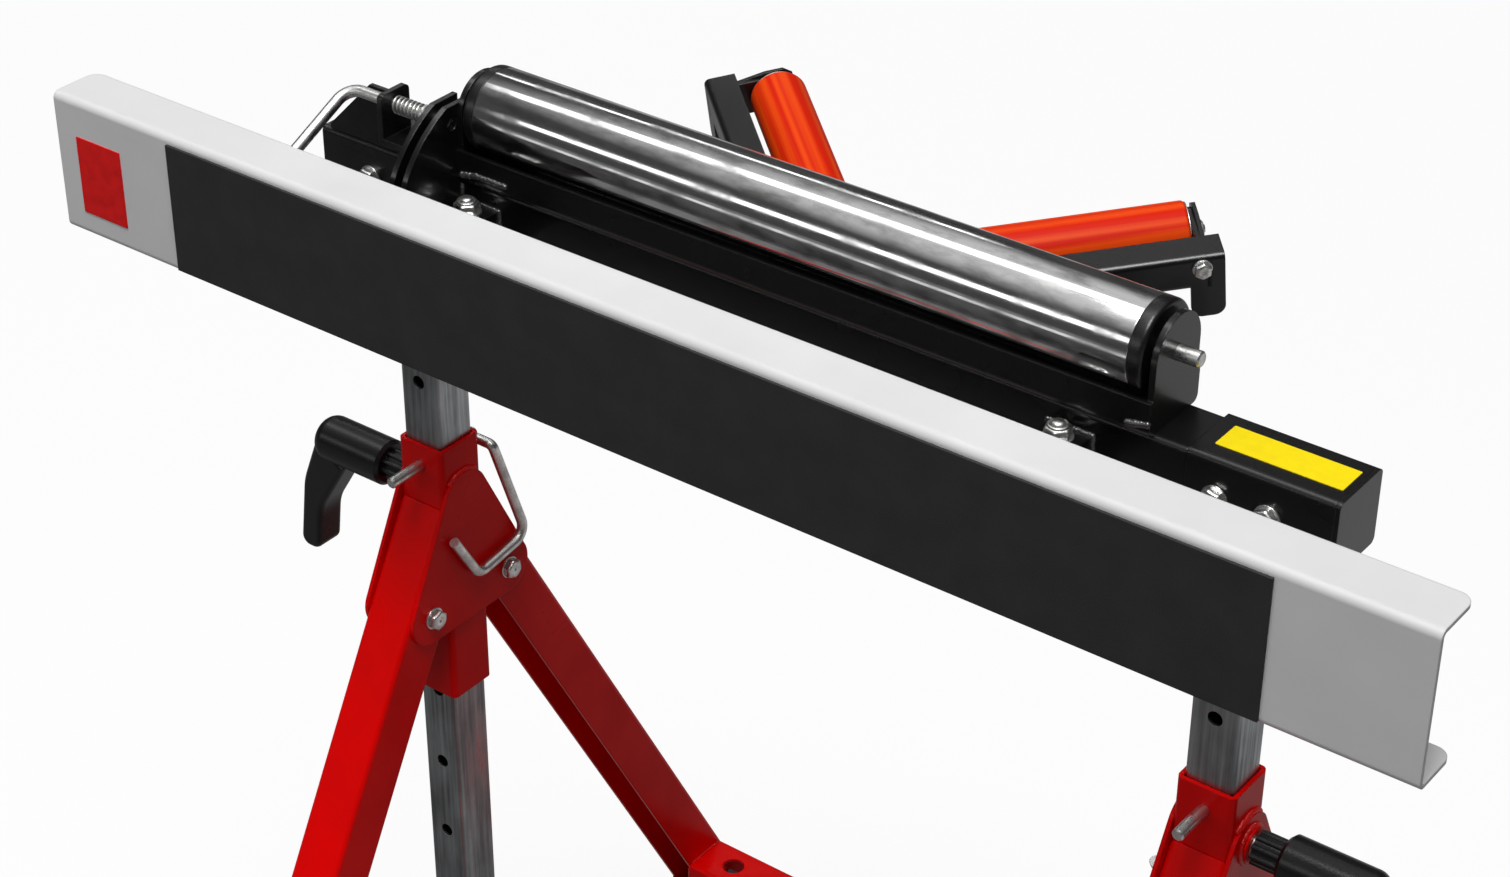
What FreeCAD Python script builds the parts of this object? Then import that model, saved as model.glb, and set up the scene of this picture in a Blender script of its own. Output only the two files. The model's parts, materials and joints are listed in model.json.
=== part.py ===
"""Height-adjustable work table with a tilting head: roller, padded beam and V rollers.

Frame: +Z up, origin on the floor under the middle of the beam, beam along X, front at -Y.
"""
import FreeCAD, Part
import Sketcher
import math
import os
import re

doc = FreeCAD.newDocument("WorkTable")
sheet = doc.addObject("Spreadsheet::Sheet", "Sizes")

sizes = {
    # stand
    "head_height": 830,
    "post_spacing": 620,
    "post_shift": 17,
    "running_gap": 0.3,
    "overrun": 10,
    "pin_play": 0.05,
    # posts
    "post_size": 33,
    "post_wall": 2,
    "post_corner": 3,
    "post_foot": 144,
    "hole_pitch": 65,
    "post_hole_radius": 5,
    "plug_plate": 4,
    "plug_depth": 20,
    # collars
    "collar_size": 39.6,
    "collar_corner": 4,
    "collar_over": 124,
    "collar_under": 85,
    # gusset plates and leg pivots
    "gusset_plate": 3,
    "gusset_corner": 21,
    "gusset_rise": 80,
    "pivot_height": 504,
    "pivot_spread": 40,
    # hardware
    "bolt_radius": 4,
    "washer_radius": 8,
    "washer_thick": 1.6,
    "hex_radius": 7.5,
    "hex_thick": 5.3,
    # legs
    "leg_depth": 38,
    "leg_wall": 2.5,
    "leg_bend": 4,
    "leg_angle": 28.7,
    "leg_back": 20,
    "leg_top": 77,
    "cross_height": 85,
    "cross_drop": 25,
    "cross_hole_radius": 9,
    "cross_hole_inset": 30,
    "foot_wall": 2,
    "foot_floor": 4,
    "foot_length": 48,
    # lock pins
    "lock_drop": 16,
    "lock_radius": 4,
    "lock_front": 50,
    "lock_rear": 36,
    "lock_chamfer": 1,
    "bail_radius": 3,
    "bail_bend": 9,
    "bail_start": 30,
    "bail_turn": 22,
    "bail_side": 28,
    "bail_back": 54.5,
    "bail_low_back": 84,
    "bail_low": 92,
    "bail_low_front": 3,
    "bail_end_front": 20,
    "bail_end_drop": 53,
    # clamp handles
    "clamp_drop": 43,
    "boss_radius": 12,
    "boss_end": 26.5,
    "stud_radius": 6,
    "stud_inside": 20,
    "flange_radius": 8.5,
    "flange_thick": 1.5,
    "neck_radius": 11.5,
    "neck_rib": 1.8,
    "neck_end": 47,
    "hub_radius": 17,
    "hub_bevel": 2.5,
    "hub_end": 112,
    "hub_round": 10,
    "lever_thick": 24,
    "lever_root": 84,
    "lever_root_drop": 14,
    "lever_knee": 127,
    "lever_knee_drop": 38,
    "lever_tip": 135,
    "lever_drop": 97,
    "lever_tip_width": 19,
    "lever_throat": 111,
    "lever_throat_drop": 58,
    "lever_bow": 60,
    "lever_hollow": 40,
    "lever_round": 8,
    "lever_edge": 4,
    # housings at the post tops
    "housing_size": 49,
    "housing_wall": 2.5,
    "housing_corner": 4,
    "housing_end": 372,
    "cap_thick": 3,
    "housing_right_start": 280,
    "block_end": 345,
    "block_play": 0.2,
    "shaft_radius": 12.5,
    "housing_bolt_in": 10,
    "housing_bolt_out": 23,
    "housing_bolt_depth": 8,
    # head tube
    "tube_size": 45,
    "tube_wall": 2.5,
    "tube_corner": 4,
    "tube_left": 254,
    "tube_right": 279,
    "shaft_plug": 20,
    # index lock
    "plate_radius": 83,
    "plate_thick": 4,
    "plate_gap": 6,
    "plate_flat": 45,
    "plate_top": 76,
    "plate_rear": 12,
    "index_radius": 70,
    "index_angle": 114.5,
    "index_pin_radius": 4,
    "index_hole_play": 0.3,
    "index_travel": 6.6,
    "index_reach": 2,
    "index_collar_radius": 6.5,
    "index_collar_thick": 2,
    "tab_start": 302,
    "tab_thick": 4,
    "tab_half": 13,
    "tab_over": 10,
    "tab_corner": 4,
    "tab_floor": 20.4,
    "handle_start": 343,
    "handle_out": 56,
    "handle_drop": 27,
    "handle_bend": 12,
    "spring_radius": 5.4,
    "spring_wire": 0.75,
    "spring_seat": 0.3,
    # beam and its carriers
    "beam_length": 1000,
    "beam_height": 100,
    "beam_depth": 38,
    "beam_wall": 2.5,
    "beam_bend": 5,
    "beam_corner": 9,
    "beam_front": 127.5,
    "beam_above": 47,
    "pad_left": 106,
    "pad_length": 801,
    "pad_thick": 2,
    "pad_top_margin": 6,
    "pad_bottom_margin": 3,
    "socket_spacing": 443,
    "socket_width": 30,
    "socket_height": 31,
    "socket_wall": 2.5,
    "socket_front": 86,
    "tongue_play": 0.2,
    "tongue_rear": 30,
    "beam_bolt_out": 40,
    "nut_thick": 5.5,
    "nut_collar_radius": 5.8,
    "nut_collar": 1.2,
    "thread_over": 1.8,
    # roller and its bracket
    "roller_height": 66.4,
    "roller_radius": 28.5,
    "roller_wall": 2,
    "roller_left": 247,
    "roller_right": 249,
    "ring_width": 9,
    "ring_spigot": 8,
    "ring_round": 3,
    "ring_hub_radius": 9,
    "ring_hub": 1.5,
    "axle_radius": 5,
    "axle_out": 272,
    "axle_chamfer": 1,
    "ear_thick": 4,
    "ear_left": 254,
    "ear_right": 257,
    "ear_radius": 24,
    "tray_half": 27,
    "tray_wall": 3,
    "tray_bend": 5,
    "tray_height": 45,
    # V rollers
    "fork_shift": 7.5,
    "fork_back": 39,
    "fork_height": 12,
    "fork_angle": 48.7,
    "fork_tilt": 10.7,
    "mount_half": 60,
    "mount_thick": 6,
    "mount_low": 18,
    "mount_high": 22,
    "arm_outer": 46,
    "arm_inner": 25,
    "arm_low": 10,
    "arm_high": 14,
    "arm_wall": 2.5,
    "arm_bend": 4,
    "arm_end": 222,
    "arm_ear": 3,
    "arm_ear_over": 12,
    "arm_ear_corner": 10,
    "arm_tab": 21,
    "arm_tab_low": 31,
    "arm_tab_corner": 7,
    "fork_roller_start": 57,
    "fork_roller_end": 207,
    "fork_roller_radius": 19,
    "fork_roller_round": 2,
    "fork_roller_gap": 1,
    "fork_axle_radius": 5,
    "fork_axle_over": 5,
}
holes_above = 1
holes_below = 5
spring_curls = 7
neck_ribs = 10
quarter_turns = 4

for row, (name, number) in enumerate(sizes.items(), start=1):
    sheet.set(f"A{row}", name)
    sheet.set(f"B{row}", str(number))
    sheet.setAlias(f"B{row}", name)
doc.recompute()

names = re.compile(r"\b(" + "|".join(sizes) + r")\b")
nodes = []
same_place = math.sqrt(Part.Precision.confusion())
vector = FreeCAD.Vector
along_x = FreeCAD.Rotation(vector(0, 1, 0), 90)
along_minus_x = FreeCAD.Rotation(vector(0, 1, 0), -90)
along_minus_y = FreeCAD.Rotation(vector(1, 0, 0), 90)
upright = FreeCAD.Rotation()


def bound(text):
    """Expression text with each size name turned into its spreadsheet cell."""
    return names.sub(r"Sizes.\1", str(text))


def value(text):
    return float(sheet.evalExpression(bound(text)))


def locate(thing, x="0", y="0", z="0", rotation=upright):
    thing.Placement = FreeCAD.Placement(vector(value(x), value(y), value(z)), rotation)
    for letter, text in zip("xyz", (x, y, z)):
        thing.setExpression(f"Placement.Base.{letter}", bound(text))
    return thing


def node(thing, label):
    thing.Label = label
    nodes.append(thing)
    return thing


def new_body(label):
    return doc.addObject("PartDesign::Body", label)


def sketch_on(body, plane, offset):
    sketch = body.newObject("Sketcher::SketchObject", "Sketch")
    origin = [item for item in body.Origin.OriginFeatures if item.Role == plane + "_Plane"][0]
    sketch.AttachmentSupport = [(origin, "")]
    sketch.MapMode = "FlatFace"
    sketch.setExpression("AttachmentOffset.Base.z", bound(offset))
    return sketch


def pin_point(sketch, element, position, u, v):
    """Tie one sketch point to two size expressions."""
    for kind, text in (("DistanceX", u), ("DistanceY", v)):
        rule = Sketcher.Constraint(kind, -1, 1, element, position, value(text))
        index = sketch.addConstraint(rule)
        sketch.setExpression(f"Constraints[{index}]", bound(text))


def draw_loop(sketch, points):
    corners = [vector(value(u), value(v), 0) for u, v in points]
    first = sketch.GeometryCount
    count = len(corners)
    for start, end in zip(corners, corners[1:] + corners[:1]):
        sketch.addGeometry(Part.LineSegment(start, end), False)
    for step in range(count):
        following = first + (step + 1) % count
        sketch.addConstraint(Sketcher.Constraint("Coincident", first + step, 2, following, 1))
    for step, (u, v) in enumerate(points):
        pin_point(sketch, first + step, 1, u, v)


def draw_circle(sketch, u, v, radius):
    centre = vector(value(u), value(v), 0)
    circle = sketch.addGeometry(Part.Circle(centre, vector(0, 0, 1), value(radius)), False)
    index = sketch.addConstraint(Sketcher.Constraint("Radius", circle, value(radius)))
    sketch.setExpression(f"Constraints[{index}]", bound(radius))
    pin_point(sketch, circle, 3, u, v)


def pad(body, plane, low, high, loops=(), circles=()):
    """Solid between two heights along the plane's normal axis."""
    offset = f"-({high})" if plane == "XZ" else low
    sketch = sketch_on(body, plane, offset)
    for points in loops:
        draw_loop(sketch, points)
    for circle in circles:
        draw_circle(sketch, *circle)
    feature = body.newObject("PartDesign::Pad", "Pad")
    feature.Profile = sketch
    feature.setExpression("Length", bound(f"({high}) - ({low})"))
    return feature


def pocket(body, plane, low, high, loops=(), circles=()):
    """Cut between two heights along the plane's normal axis."""
    offset = f"-({low})" if plane == "XZ" else high
    sketch = sketch_on(body, plane, offset)
    for points in loops:
        draw_loop(sketch, points)
    for circle in circles:
        draw_circle(sketch, *circle)
    doc.recompute()
    before = body.Shape.Volume
    feature = body.newObject("PartDesign::Pocket", "Pocket")
    feature.Profile = sketch
    feature.setExpression("Length", bound(f"({high}) - ({low})"))
    doc.recompute()
    if not feature.Shape.Volume < before:
        raise RuntimeError(body.Label + ": a pocket cut nothing")
    return feature


def box_loop(u_low, u_high, v_low, v_high):
    return [(u_low, v_low), (u_high, v_low), (u_high, v_high), (u_low, v_high)]


def square_loop(half, middle="0"):
    return box_loop(f"-({half})", half, f"({middle}) - ({half})", f"({middle}) + ({half})")


def square_corners(half):
    return [(f"-{half}", f"-{half}"), (half, f"-{half}"), (half, half), (f"-{half}", half)]


def span(sign, near, far):
    """Low and high X of a stretch measured outwards on the left or the right side."""
    return (near, far) if sign > 0 else (f"-({far})", f"-({near})")


def soften(body, plane, corners, radius):
    """Round the edges that run along the plane's normal through the given corners."""
    doc.recompute()
    first, second = {"XY": "xy", "XZ": "xz", "YZ": "yz"}[plane]
    targets = [(value(u), value(v)) for u, v in corners]
    picked = []
    for index, edge in enumerate(body.Tip.Shape.Edges, start=1):
        ends = [(getattr(end.Point, first), getattr(end.Point, second)) for end in edge.Vertexes]
        if len(ends) < 2 or math.dist(*ends) > same_place:
            continue
        if any(math.dist(ends[0], target) < same_place for target in targets):
            picked.append(index)
    if len(picked) < len(targets):
        raise RuntimeError(body.Label + ": a corner to round was not found")
    return add_fillet(body, picked, radius)


def add_fillet(body, picked, radius):
    tip = body.Tip
    fillet = body.newObject("PartDesign::Fillet", "Fillet")
    fillet.Base = (tip, [f"Edge{index}" for index in picked])
    fillet.setExpression("Radius", bound(radius))
    return fillet


def soften_faces(body, axis, places, radius):
    """Round every edge that lies in one of the planes across an axis."""
    doc.recompute()
    levels = [value(place) for place in places]
    picked = []
    for index, edge in enumerate(body.Tip.Shape.Edges, start=1):
        ends = [getattr(edge.BoundBox, axis + side) for side in ("Min", "Max")]
        if any(max(abs(end - level) for end in ends) < same_place for level in levels):
            picked.append(index)
    return add_fillet(body, picked, radius)


def soften_ring(body, place, ring_radius, radius):
    """Round the circular edge of a turned body at a place along its axis."""
    doc.recompute()
    target = (value(place), value(ring_radius))
    picked = []
    for index, edge in enumerate(body.Tip.Shape.Edges, start=1):
        if not isinstance(edge.Curve, Part.Circle):
            continue
        if math.dist((edge.Curve.Center.x, edge.Curve.Radius), target) < same_place:
            picked.append(index)
    return add_fillet(body, picked, radius)


def turned(label, outline):
    """Body turned about its own X axis from (place, radius) points."""
    body = new_body(label)
    sketch = sketch_on(body, "XZ", "0")
    draw_loop(sketch, outline)
    feature = body.newObject("PartDesign::Revolution", "Revolution")
    feature.Profile = sketch
    feature.ReferenceAxis = (sketch, ["H_Axis"])
    feature.Angle = 360
    return body


def cylinder(radius, low, high):
    """Part cylinder along its own Z axis between two heights."""
    thing = doc.addObject("Part::Cylinder", "Cylinder")
    thing.setExpression("Radius", bound(radius))
    thing.setExpression("Height", bound(f"({high}) - ({low})"))
    return locate(thing, z=low)


def hexagon(radius, low, high):
    thing = doc.addObject("Part::Prism", "Hexagon")
    thing.Polygon = 6
    thing.setExpression("Circumradius", bound(radius))
    thing.setExpression("Height", bound(f"({high}) - ({low})"))
    return locate(thing, z=low)


def block(x_low, x_high, y_low, y_high, z_low, z_high):
    thing = doc.addObject("Part::Box", "Box")
    spans = (("Length", x_low, x_high), ("Width", y_low, y_high), ("Height", z_low, z_high))
    for side, low, high in spans:
        thing.setExpression(side, bound(f"({high}) - ({low})"))
    return locate(thing, x_low, y_low, z_low)


def fused(things, label="Fusion"):
    thing = doc.addObject("Part::MultiFuse", label)
    thing.Shapes = things
    return thing


def cut(base, tool, label="Cut"):
    thing = doc.addObject("Part::Cut", label)
    thing.Base = base
    thing.Tool = tool
    return thing


def grouped(things, label):
    thing = doc.addObject("Part::Compound", label)
    thing.Links = things
    return node(thing, label)


def bent_path(points, bend):
    """Straight runs joined by tangent arcs."""
    edges = []
    start = points[0]
    for before, corner, after in zip(points, points[1:], points[2:]):
        inward = (before - corner).normalize()
        outward = (after - corner).normalize()
        half = inward.getAngle(outward) / 2
        reach = bend / math.tan(half)
        middle = (inward + outward).normalize() * (bend / math.sin(half) - bend)
        first = corner + inward * reach
        last = corner + outward * reach
        edges.append(Part.LineSegment(start, first).toShape())
        edges.append(Part.Arc(first, corner + middle, last).toShape())
        start = last
    edges.append(Part.LineSegment(start, points[-1]).toShape())
    return edges


def swept(edges, radius):
    path = Part.Wire(edges)
    start = edges[0].valueAt(edges[0].FirstParameter)
    tangent = edges[0].tangentAt(edges[0].FirstParameter)
    ring = Part.Wire(Part.Circle(start, tangent, radius).toShape())
    return path.makePipeShell([ring], True, False)


def shaped(shape, label, x="0", y="0", z="0"):
    thing = doc.addObject("Part::Feature", label)
    thing.Shape = shape
    return node(locate(thing, x, y, z), label)


def post_x(sign):
    return f"(post_shift + {sign} * post_spacing / 2)"


collar_half = "(collar_size / 2)"
gusset_face = "(collar_size / 2 + gusset_plate)"
leg_half = "(collar_size / 2 - running_gap)"
post_half = "(post_size / 2)"
post_top = "(head_height - housing_size / 2)"
collar_top = "(pivot_height + collar_over)"
collar_bottom = "(pivot_height - collar_under)"
lock_height = "(pivot_height + collar_over - lock_drop)"
clamp_height = "(pivot_height + collar_over - clamp_drop)"


# Base: collars with their welded plates and bosses
def make_collar(side, sign):
    body = new_body("collar_" + side)
    inner = f"({post_half} + running_gap)"
    pad(body, "XY", collar_bottom, collar_top, [square_loop(collar_half), square_loop(inner)])
    soften(body, "XY", square_corners(collar_half), "collar_corner")
    pin_hole = ("0", lock_height, "lock_radius + pin_play")
    pocket(body, "XZ", f"-{collar_half} - running_gap", f"{collar_half} + running_gap", circles=[pin_hole])
    low, high = span(sign, "0", collar_half)
    pocket(body, "YZ", low, high, circles=[("0", clamp_height, "stud_radius + pin_play")])
    node(locate(body, post_x(sign)), "collar_" + side)


def make_gusset(side, sign, place, face):
    """Plate hull of three equal corner circles, on the inner or outer side of a collar."""
    body = new_body(f"gusset_{side}_{place}")
    half_apex = "atan(pivot_spread / gusset_rise)"
    apex = f"(pivot_height + gusset_rise + gusset_corner / sin({half_apex}))"
    reach = f"(pivot_spread + gusset_corner / tan((90 deg - {half_apex}) / 2))"
    foot = "(pivot_height - gusset_corner)"
    corners = [(f"-{reach}", foot), (reach, foot), ("0", apex)]
    holes = [(f"{hand} * pivot_spread", "pivot_height", "bolt_radius + pin_play") for hand in (-1, 1)]
    if place == "outer":
        holes.append(("0", clamp_height, "stud_radius + pin_play"))
    low, high = ("0", "gusset_plate") if face > 0 else ("-gusset_plate", "0")
    pad(body, "YZ", low, high, [corners], holes)
    soften(body, "YZ", corners, "gusset_corner")
    node(locate(body, f"{post_x(sign)} + {face} * collar_size / 2"), body.Label)


def make_clamp_boss(side, sign):
    low, high = gusset_face, "boss_end"
    outline = [(low, "stud_radius + pin_play"), (high, "stud_radius + pin_play")]
    outline += [(high, "boss_radius"), (low, "boss_radius")]
    body = turned("clamp_boss_" + side, [(f"{sign} * {u}", v) for u, v in outline])
    node(locate(body, post_x(sign), z=clamp_height), body.Label)


def hex_bolt(grip, nut=False):
    """Bolt along its own Z axis, head above zero and shank below."""
    parts = [cylinder("washer_radius", "0", "washer_thick")]
    parts.append(hexagon("hex_radius", "washer_thick", "washer_thick + hex_thick"))
    parts.append(cylinder("bolt_radius", f"-({grip})", "washer_thick"))
    if nut:
        parts.append(cylinder("washer_radius", f"-({grip}) - washer_thick", f"-({grip})"))
        low = f"-({grip}) - washer_thick - nut_thick"
        parts.append(hexagon("hex_radius", low, f"-({grip}) - washer_thick"))
    return fused(parts)


def make_pivot_bolts(side, sign):
    turn = along_minus_x if sign > 0 else along_x
    bolts = []
    for hand in (-1, 1):
        bolt = hex_bolt(f"2 * {gusset_face}", nut=True)
        inner = f"{post_x(sign)} - {sign} * {gusset_face}"
        bolts.append(locate(bolt, inner, f"{hand} * pivot_spread", "pivot_height", turn))
    grouped(bolts, "leg_pivot_bolts_" + side)


# Legs: folded channels with the open side towards the posts
def lean(thing, x, hand):
    """Place a leg piece drawn about its pivot; hand is -1 in front and 1 at the back."""
    place = f"vector({x}; {hand} * pivot_spread; pivot_height)"
    thing.setExpression("Placement", bound(f"placement({place}; rotation(vector({hand}; 0; 0); leg_angle))"))
    return thing


def flipped(points, hand):
    """Loop with its Y coordinates turned for a rear piece."""
    return [(u, f"{-hand} * ({v})") for u, v in points]


leg_reach = "(pivot_height / cos(leg_angle) + leg_depth)"


def leg_prism(low, high, half, back, front, hand):
    body = new_body("LegEnvelope")
    pad(body, "XY", low, high, [flipped(box_loop(f"-({half})", half, f"-({back})", front), hand)])
    return body


def make_leg(place, hand, side, sign):
    label = f"{place}_leg_{side}"
    body = new_body("LegChannel")
    front = "(leg_depth - leg_back)"
    inner = f"({leg_half} - leg_wall)"
    web = "(leg_wall - leg_back)"
    points = [(f"-{leg_half}", "-leg_back"), (leg_half, "-leg_back"), (leg_half, front), (inner, front)]
    points += [(inner, web), (f"-{inner}", web), (f"-{inner}", front), (f"-{leg_half}", front)]
    pad(body, "XY", f"-{leg_reach}", "leg_top", [flipped(points, hand)])
    soften(body, "XY", flipped(points[:2], hand), "leg_bend")
    soften(body, "XY", flipped(points[4:6], hand), "leg_bend - leg_wall")
    pocket(body, "YZ", f"-{leg_half}", leg_half, circles=[("0", "0", "bolt_radius + pin_play")])
    channel = lean(body, post_x(sign), hand)
    free = f"({collar_half} + running_gap)"
    wide = f"({post_x(sign)} - {leg_half} - running_gap)"
    far = f"({post_x(sign)} + {leg_half} + running_gap)"
    collar_space = block(wide, far, f"-{free}", free, collar_bottom, collar_top)
    ground = block(wide, far, f"-{leg_reach}", leg_reach, f"-{leg_reach}", "foot_floor")
    node(cut(cut(channel, collar_space), ground, label), label)


def make_foot(place, hand, side, sign):
    """Moulded cap over the leg's lower end, with a level sole."""
    label = f"{place}_foot_{side}"
    top = "(foot_length - pivot_height / cos(leg_angle))"
    front = "(leg_depth - leg_back)"
    shell = leg_prism(f"-{leg_reach}", top, f"{leg_half} + foot_wall", "leg_back + foot_wall",
                      f"{front} + foot_wall", hand)
    half = f"({leg_half} + foot_wall)"
    back = "(leg_back + foot_wall)"
    deep = f"({front} + foot_wall)"
    corners = [(f"-{half}", f"-{back}"), (half, f"-{back}"), (half, deep), (f"-{half}", deep)]
    soften(shell, "XY", flipped(corners, hand), "leg_bend")
    filling = leg_prism(f"-{leg_reach}", f"{top} + foot_wall", leg_half, "leg_back", front, hand)
    for piece in (shell, filling):
        lean(piece, post_x(sign), hand)
    wide = f"({post_x(sign)} - {half} - foot_wall)"
    far = f"({post_x(sign)} + {half} + foot_wall)"
    low = block(wide, far, f"-{leg_reach}", leg_reach, f"-{leg_reach}", "0")
    sole = block(wide, far, f"-{leg_reach}", leg_reach, f"-{leg_reach}", "foot_floor")
    node(cut(cut(shell, low), cut(filling, sole), label), label)


def make_cross_member(place, hand):
    """Channel between the legs' flanges, web up, with a hole near each end."""
    label = place + "_cross_member"
    body = new_body(label)
    outer = "(pivot_spread + (pivot_height - cross_height) * tan(leg_angle) + leg_back / cos(leg_angle))"
    inner = f"({outer} - leg_depth / cos(leg_angle))"
    low, high = "(cross_height - cross_drop)", "cross_height"
    under = "(cross_height - leg_wall)"
    points = [(inner, low), (f"{inner} + leg_wall", low), (f"{inner} + leg_wall", under)]
    points += [(f"{outer} - leg_wall", under), (f"{outer} - leg_wall", low), (outer, low)]
    points += [(outer, high), (inner, high)]
    half = f"(post_spacing / 2 - {leg_half})"
    turned_points = [(f"{hand} * ({u})", v) for u, v in points]
    pad(body, "YZ", f"-{half}", half, [turned_points])
    soften(body, "YZ", turned_points[6:], "leg_bend")
    soften(body, "YZ", turned_points[2:4], "leg_bend - leg_wall")
    middle = f"{hand} * ({outer} + {inner}) / 2"
    holes = [(f"{end} * ({half} - cross_hole_inset)", middle, "cross_hole_radius") for end in (-1, 1)]
    pocket(body, "XY", f"{under} - leg_wall", high, circles=holes)
    node(locate(body, "post_shift"), label)


# Lock pins with their bent wire bails
def make_lock_pin(side, sign):
    low, high = "-lock_front", "lock_rear"
    tip = "(lock_radius - lock_chamfer)"
    outline = [(low, "0"), (high, "0"), (high, tip), (f"{high} - lock_chamfer", "lock_radius")]
    outline += [(f"{low} + lock_chamfer", "lock_radius"), (low, tip)]
    body = turned("PinBody", outline)
    locate(body, post_x(sign), z=lock_height, rotation=FreeCAD.Rotation(vector(0, 0, 1), 90))
    hole = locate(cylinder("bail_radius", "-lock_radius - overrun", "lock_radius + overrun"),
                  f"{post_x(sign)} - lock_radius - overrun", "bail_start", lock_height, along_x)
    node(cut(body, hole, "lock_pin_" + side), "lock_pin_" + side)


def make_bail(side, sign):
    """Wire from the pin's rear end, down beside the collar and round to the front."""
    inner = -sign
    flat = inner * value("bail_side")
    start = value("bail_start")
    points = [vector(-inner * value("lock_radius"), start, 0)]
    points.append(vector(inner * value("bail_turn"), start, 0))
    points.append(vector(flat, value("bail_back"), -value("bail_low_back")))
    points.append(vector(flat, value("bail_low_front"), -value("bail_low")))
    points.append(vector(flat, -value("bail_end_front"), -value("bail_end_drop")))
    wire = swept(bent_path(points, value("bail_bend")), value("bail_radius"))
    shaped(wire, "lock_pin_bail_" + side, post_x(sign), z=lock_height)


# Clamp handles: threaded stud with a flange, and a moulded hub with a hanging lever
def mirrored(points, sign):
    return [(f"{sign} * ({u})", v) for u, v in points]


def make_clamp_grip(sign):
    """Hanging grip: widest at the hub, bowed outwards, rounded all round."""
    body = new_body("ClampGrip")
    outline = [("lever_root", "-lever_root_drop"), ("hub_end", "0"), ("lever_knee", "-lever_knee_drop")]
    outline += [("lever_tip", "-lever_drop"), ("lever_tip - lever_tip_width", "-lever_drop")]
    outline.append(("lever_throat", "-lever_throat_drop"))
    outline = mirrored(outline, sign)
    half = "(lever_thick / 2)"
    pad(body, "XZ", f"-{half}", half, [outline])
    soften(body, "XZ", outline[2:3], "lever_bow")
    soften(body, "XZ", outline[5:], "lever_hollow")
    soften(body, "XZ", outline[3:5], "lever_round")
    soften_faces(body, "Y", (f"-{half}", half), "lever_edge")
    return body


def make_clamp(side, sign):
    seat = "(boss_end + running_gap)"
    start = f"({seat} + flange_thick)"
    low, high = f"({post_half} + running_gap)", f"({start} + stud_inside)"
    outline = [(low, "0"), (high, "0"), (high, "stud_radius"), (start, "stud_radius")]
    outline += [(start, "flange_radius"), (seat, "flange_radius")]
    outline += [(seat, "stud_radius"), (low, "stud_radius")]
    stud = turned("clamp_screw_" + side, mirrored(outline, sign))
    node(locate(stud, post_x(sign), z=clamp_height), stud.Label)
    core = "(neck_radius - neck_rib)"
    hub = [(start, "stud_radius"), (high, "stud_radius"), (high, "0"), ("hub_end", "0")]
    hub += [("hub_end", "hub_radius"), ("neck_end + hub_bevel", "hub_radius")]
    hub += [("neck_end", "hub_radius - hub_bevel"), ("neck_end", core), (start, core)]
    body = turned("ClampHub", mirrored(hub, sign))
    soften_ring(body, f"{sign} * hub_end", "hub_radius", "hub_round")
    parts = [body, make_clamp_grip(sign)]
    for step in range(neck_ribs):
        angle = step * 360 / neck_ribs
        rib = cylinder("neck_rib", "0", f"neck_end - {start}")
        parts.append(locate(rib, f"{sign} * {start}", f"{core} * cos({angle})", f"{core} * sin({angle})",
                            along_x if sign > 0 else along_minus_x))
    lever = locate(fused(parts), post_x(sign), z=clamp_height)
    node(lever, "clamp_lever_" + side)


# Posts and what stands on them
def make_post(side, sign):
    body = new_body("post_" + side)
    inner = f"({post_half} - post_wall)"
    pad(body, "XY", "post_foot", post_top, [square_loop(post_half), square_loop(inner)])
    soften(body, "XY", square_corners(post_half), "post_corner")
    steps = range(-holes_below, holes_above + 1)
    holes = [("0", f"{lock_height} + {step} * hole_pitch", "post_hole_radius") for step in steps]
    pocket(body, "XZ", f"-{post_half} - running_gap", f"{post_half} + running_gap", circles=holes)
    node(locate(body, post_x(sign)), "post_" + side)


def make_plug(sign):
    body = new_body("PostPlug")
    pad(body, "XY", "post_foot - plug_plate", "post_foot", [square_loop(post_half)])
    spigot = f"({post_half} - post_wall - pin_play)"
    pad(body, "XY", "post_foot", "post_foot + plug_depth", [square_loop(spigot)])
    return locate(body, post_x(sign))


fixed_plate_left = "(tube_left + 2 * plate_thick + plate_gap)"
housing_half = "(housing_size / 2)"
block_half = "(housing_size / 2 - housing_wall - block_play)"
housing_starts = {-1: fixed_plate_left, 1: "housing_right_start"}


def bolt_places(sign):
    middle = "post_spacing / 2"
    return [f"{sign} * ({middle} - housing_bolt_in)", f"{sign} * ({middle} + housing_bolt_out)"]


def at_head(thing, x="0", y="0", z="0", rotation=upright):
    return locate(thing, f"post_shift + {x}", y, f"head_height + {z}", rotation)


def make_housing(side, sign):
    body = new_body("housing_" + side)
    low, high = span(sign, housing_starts[sign], "housing_end")
    inner = f"({housing_half} - housing_wall)"
    pad(body, "YZ", low, high, [square_loop(housing_half), square_loop(inner)])
    soften(body, "YZ", square_corners(housing_half), "housing_corner")
    holes = [(x, "0", "bolt_radius + pin_play") for x in bolt_places(sign)]
    pocket(body, "XZ", f"-{housing_half} - running_gap", f"-{inner} + running_gap", circles=holes)
    node(at_head(body), body.Label)


def make_housing_cap(sign):
    body = new_body("HousingCap")
    low, high = span(sign, "housing_end", "housing_end + cap_thick")
    pad(body, "YZ", low, high, [square_loop(housing_half)])
    soften(body, "YZ", square_corners(housing_half), "housing_corner")
    return at_head(body)


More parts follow.
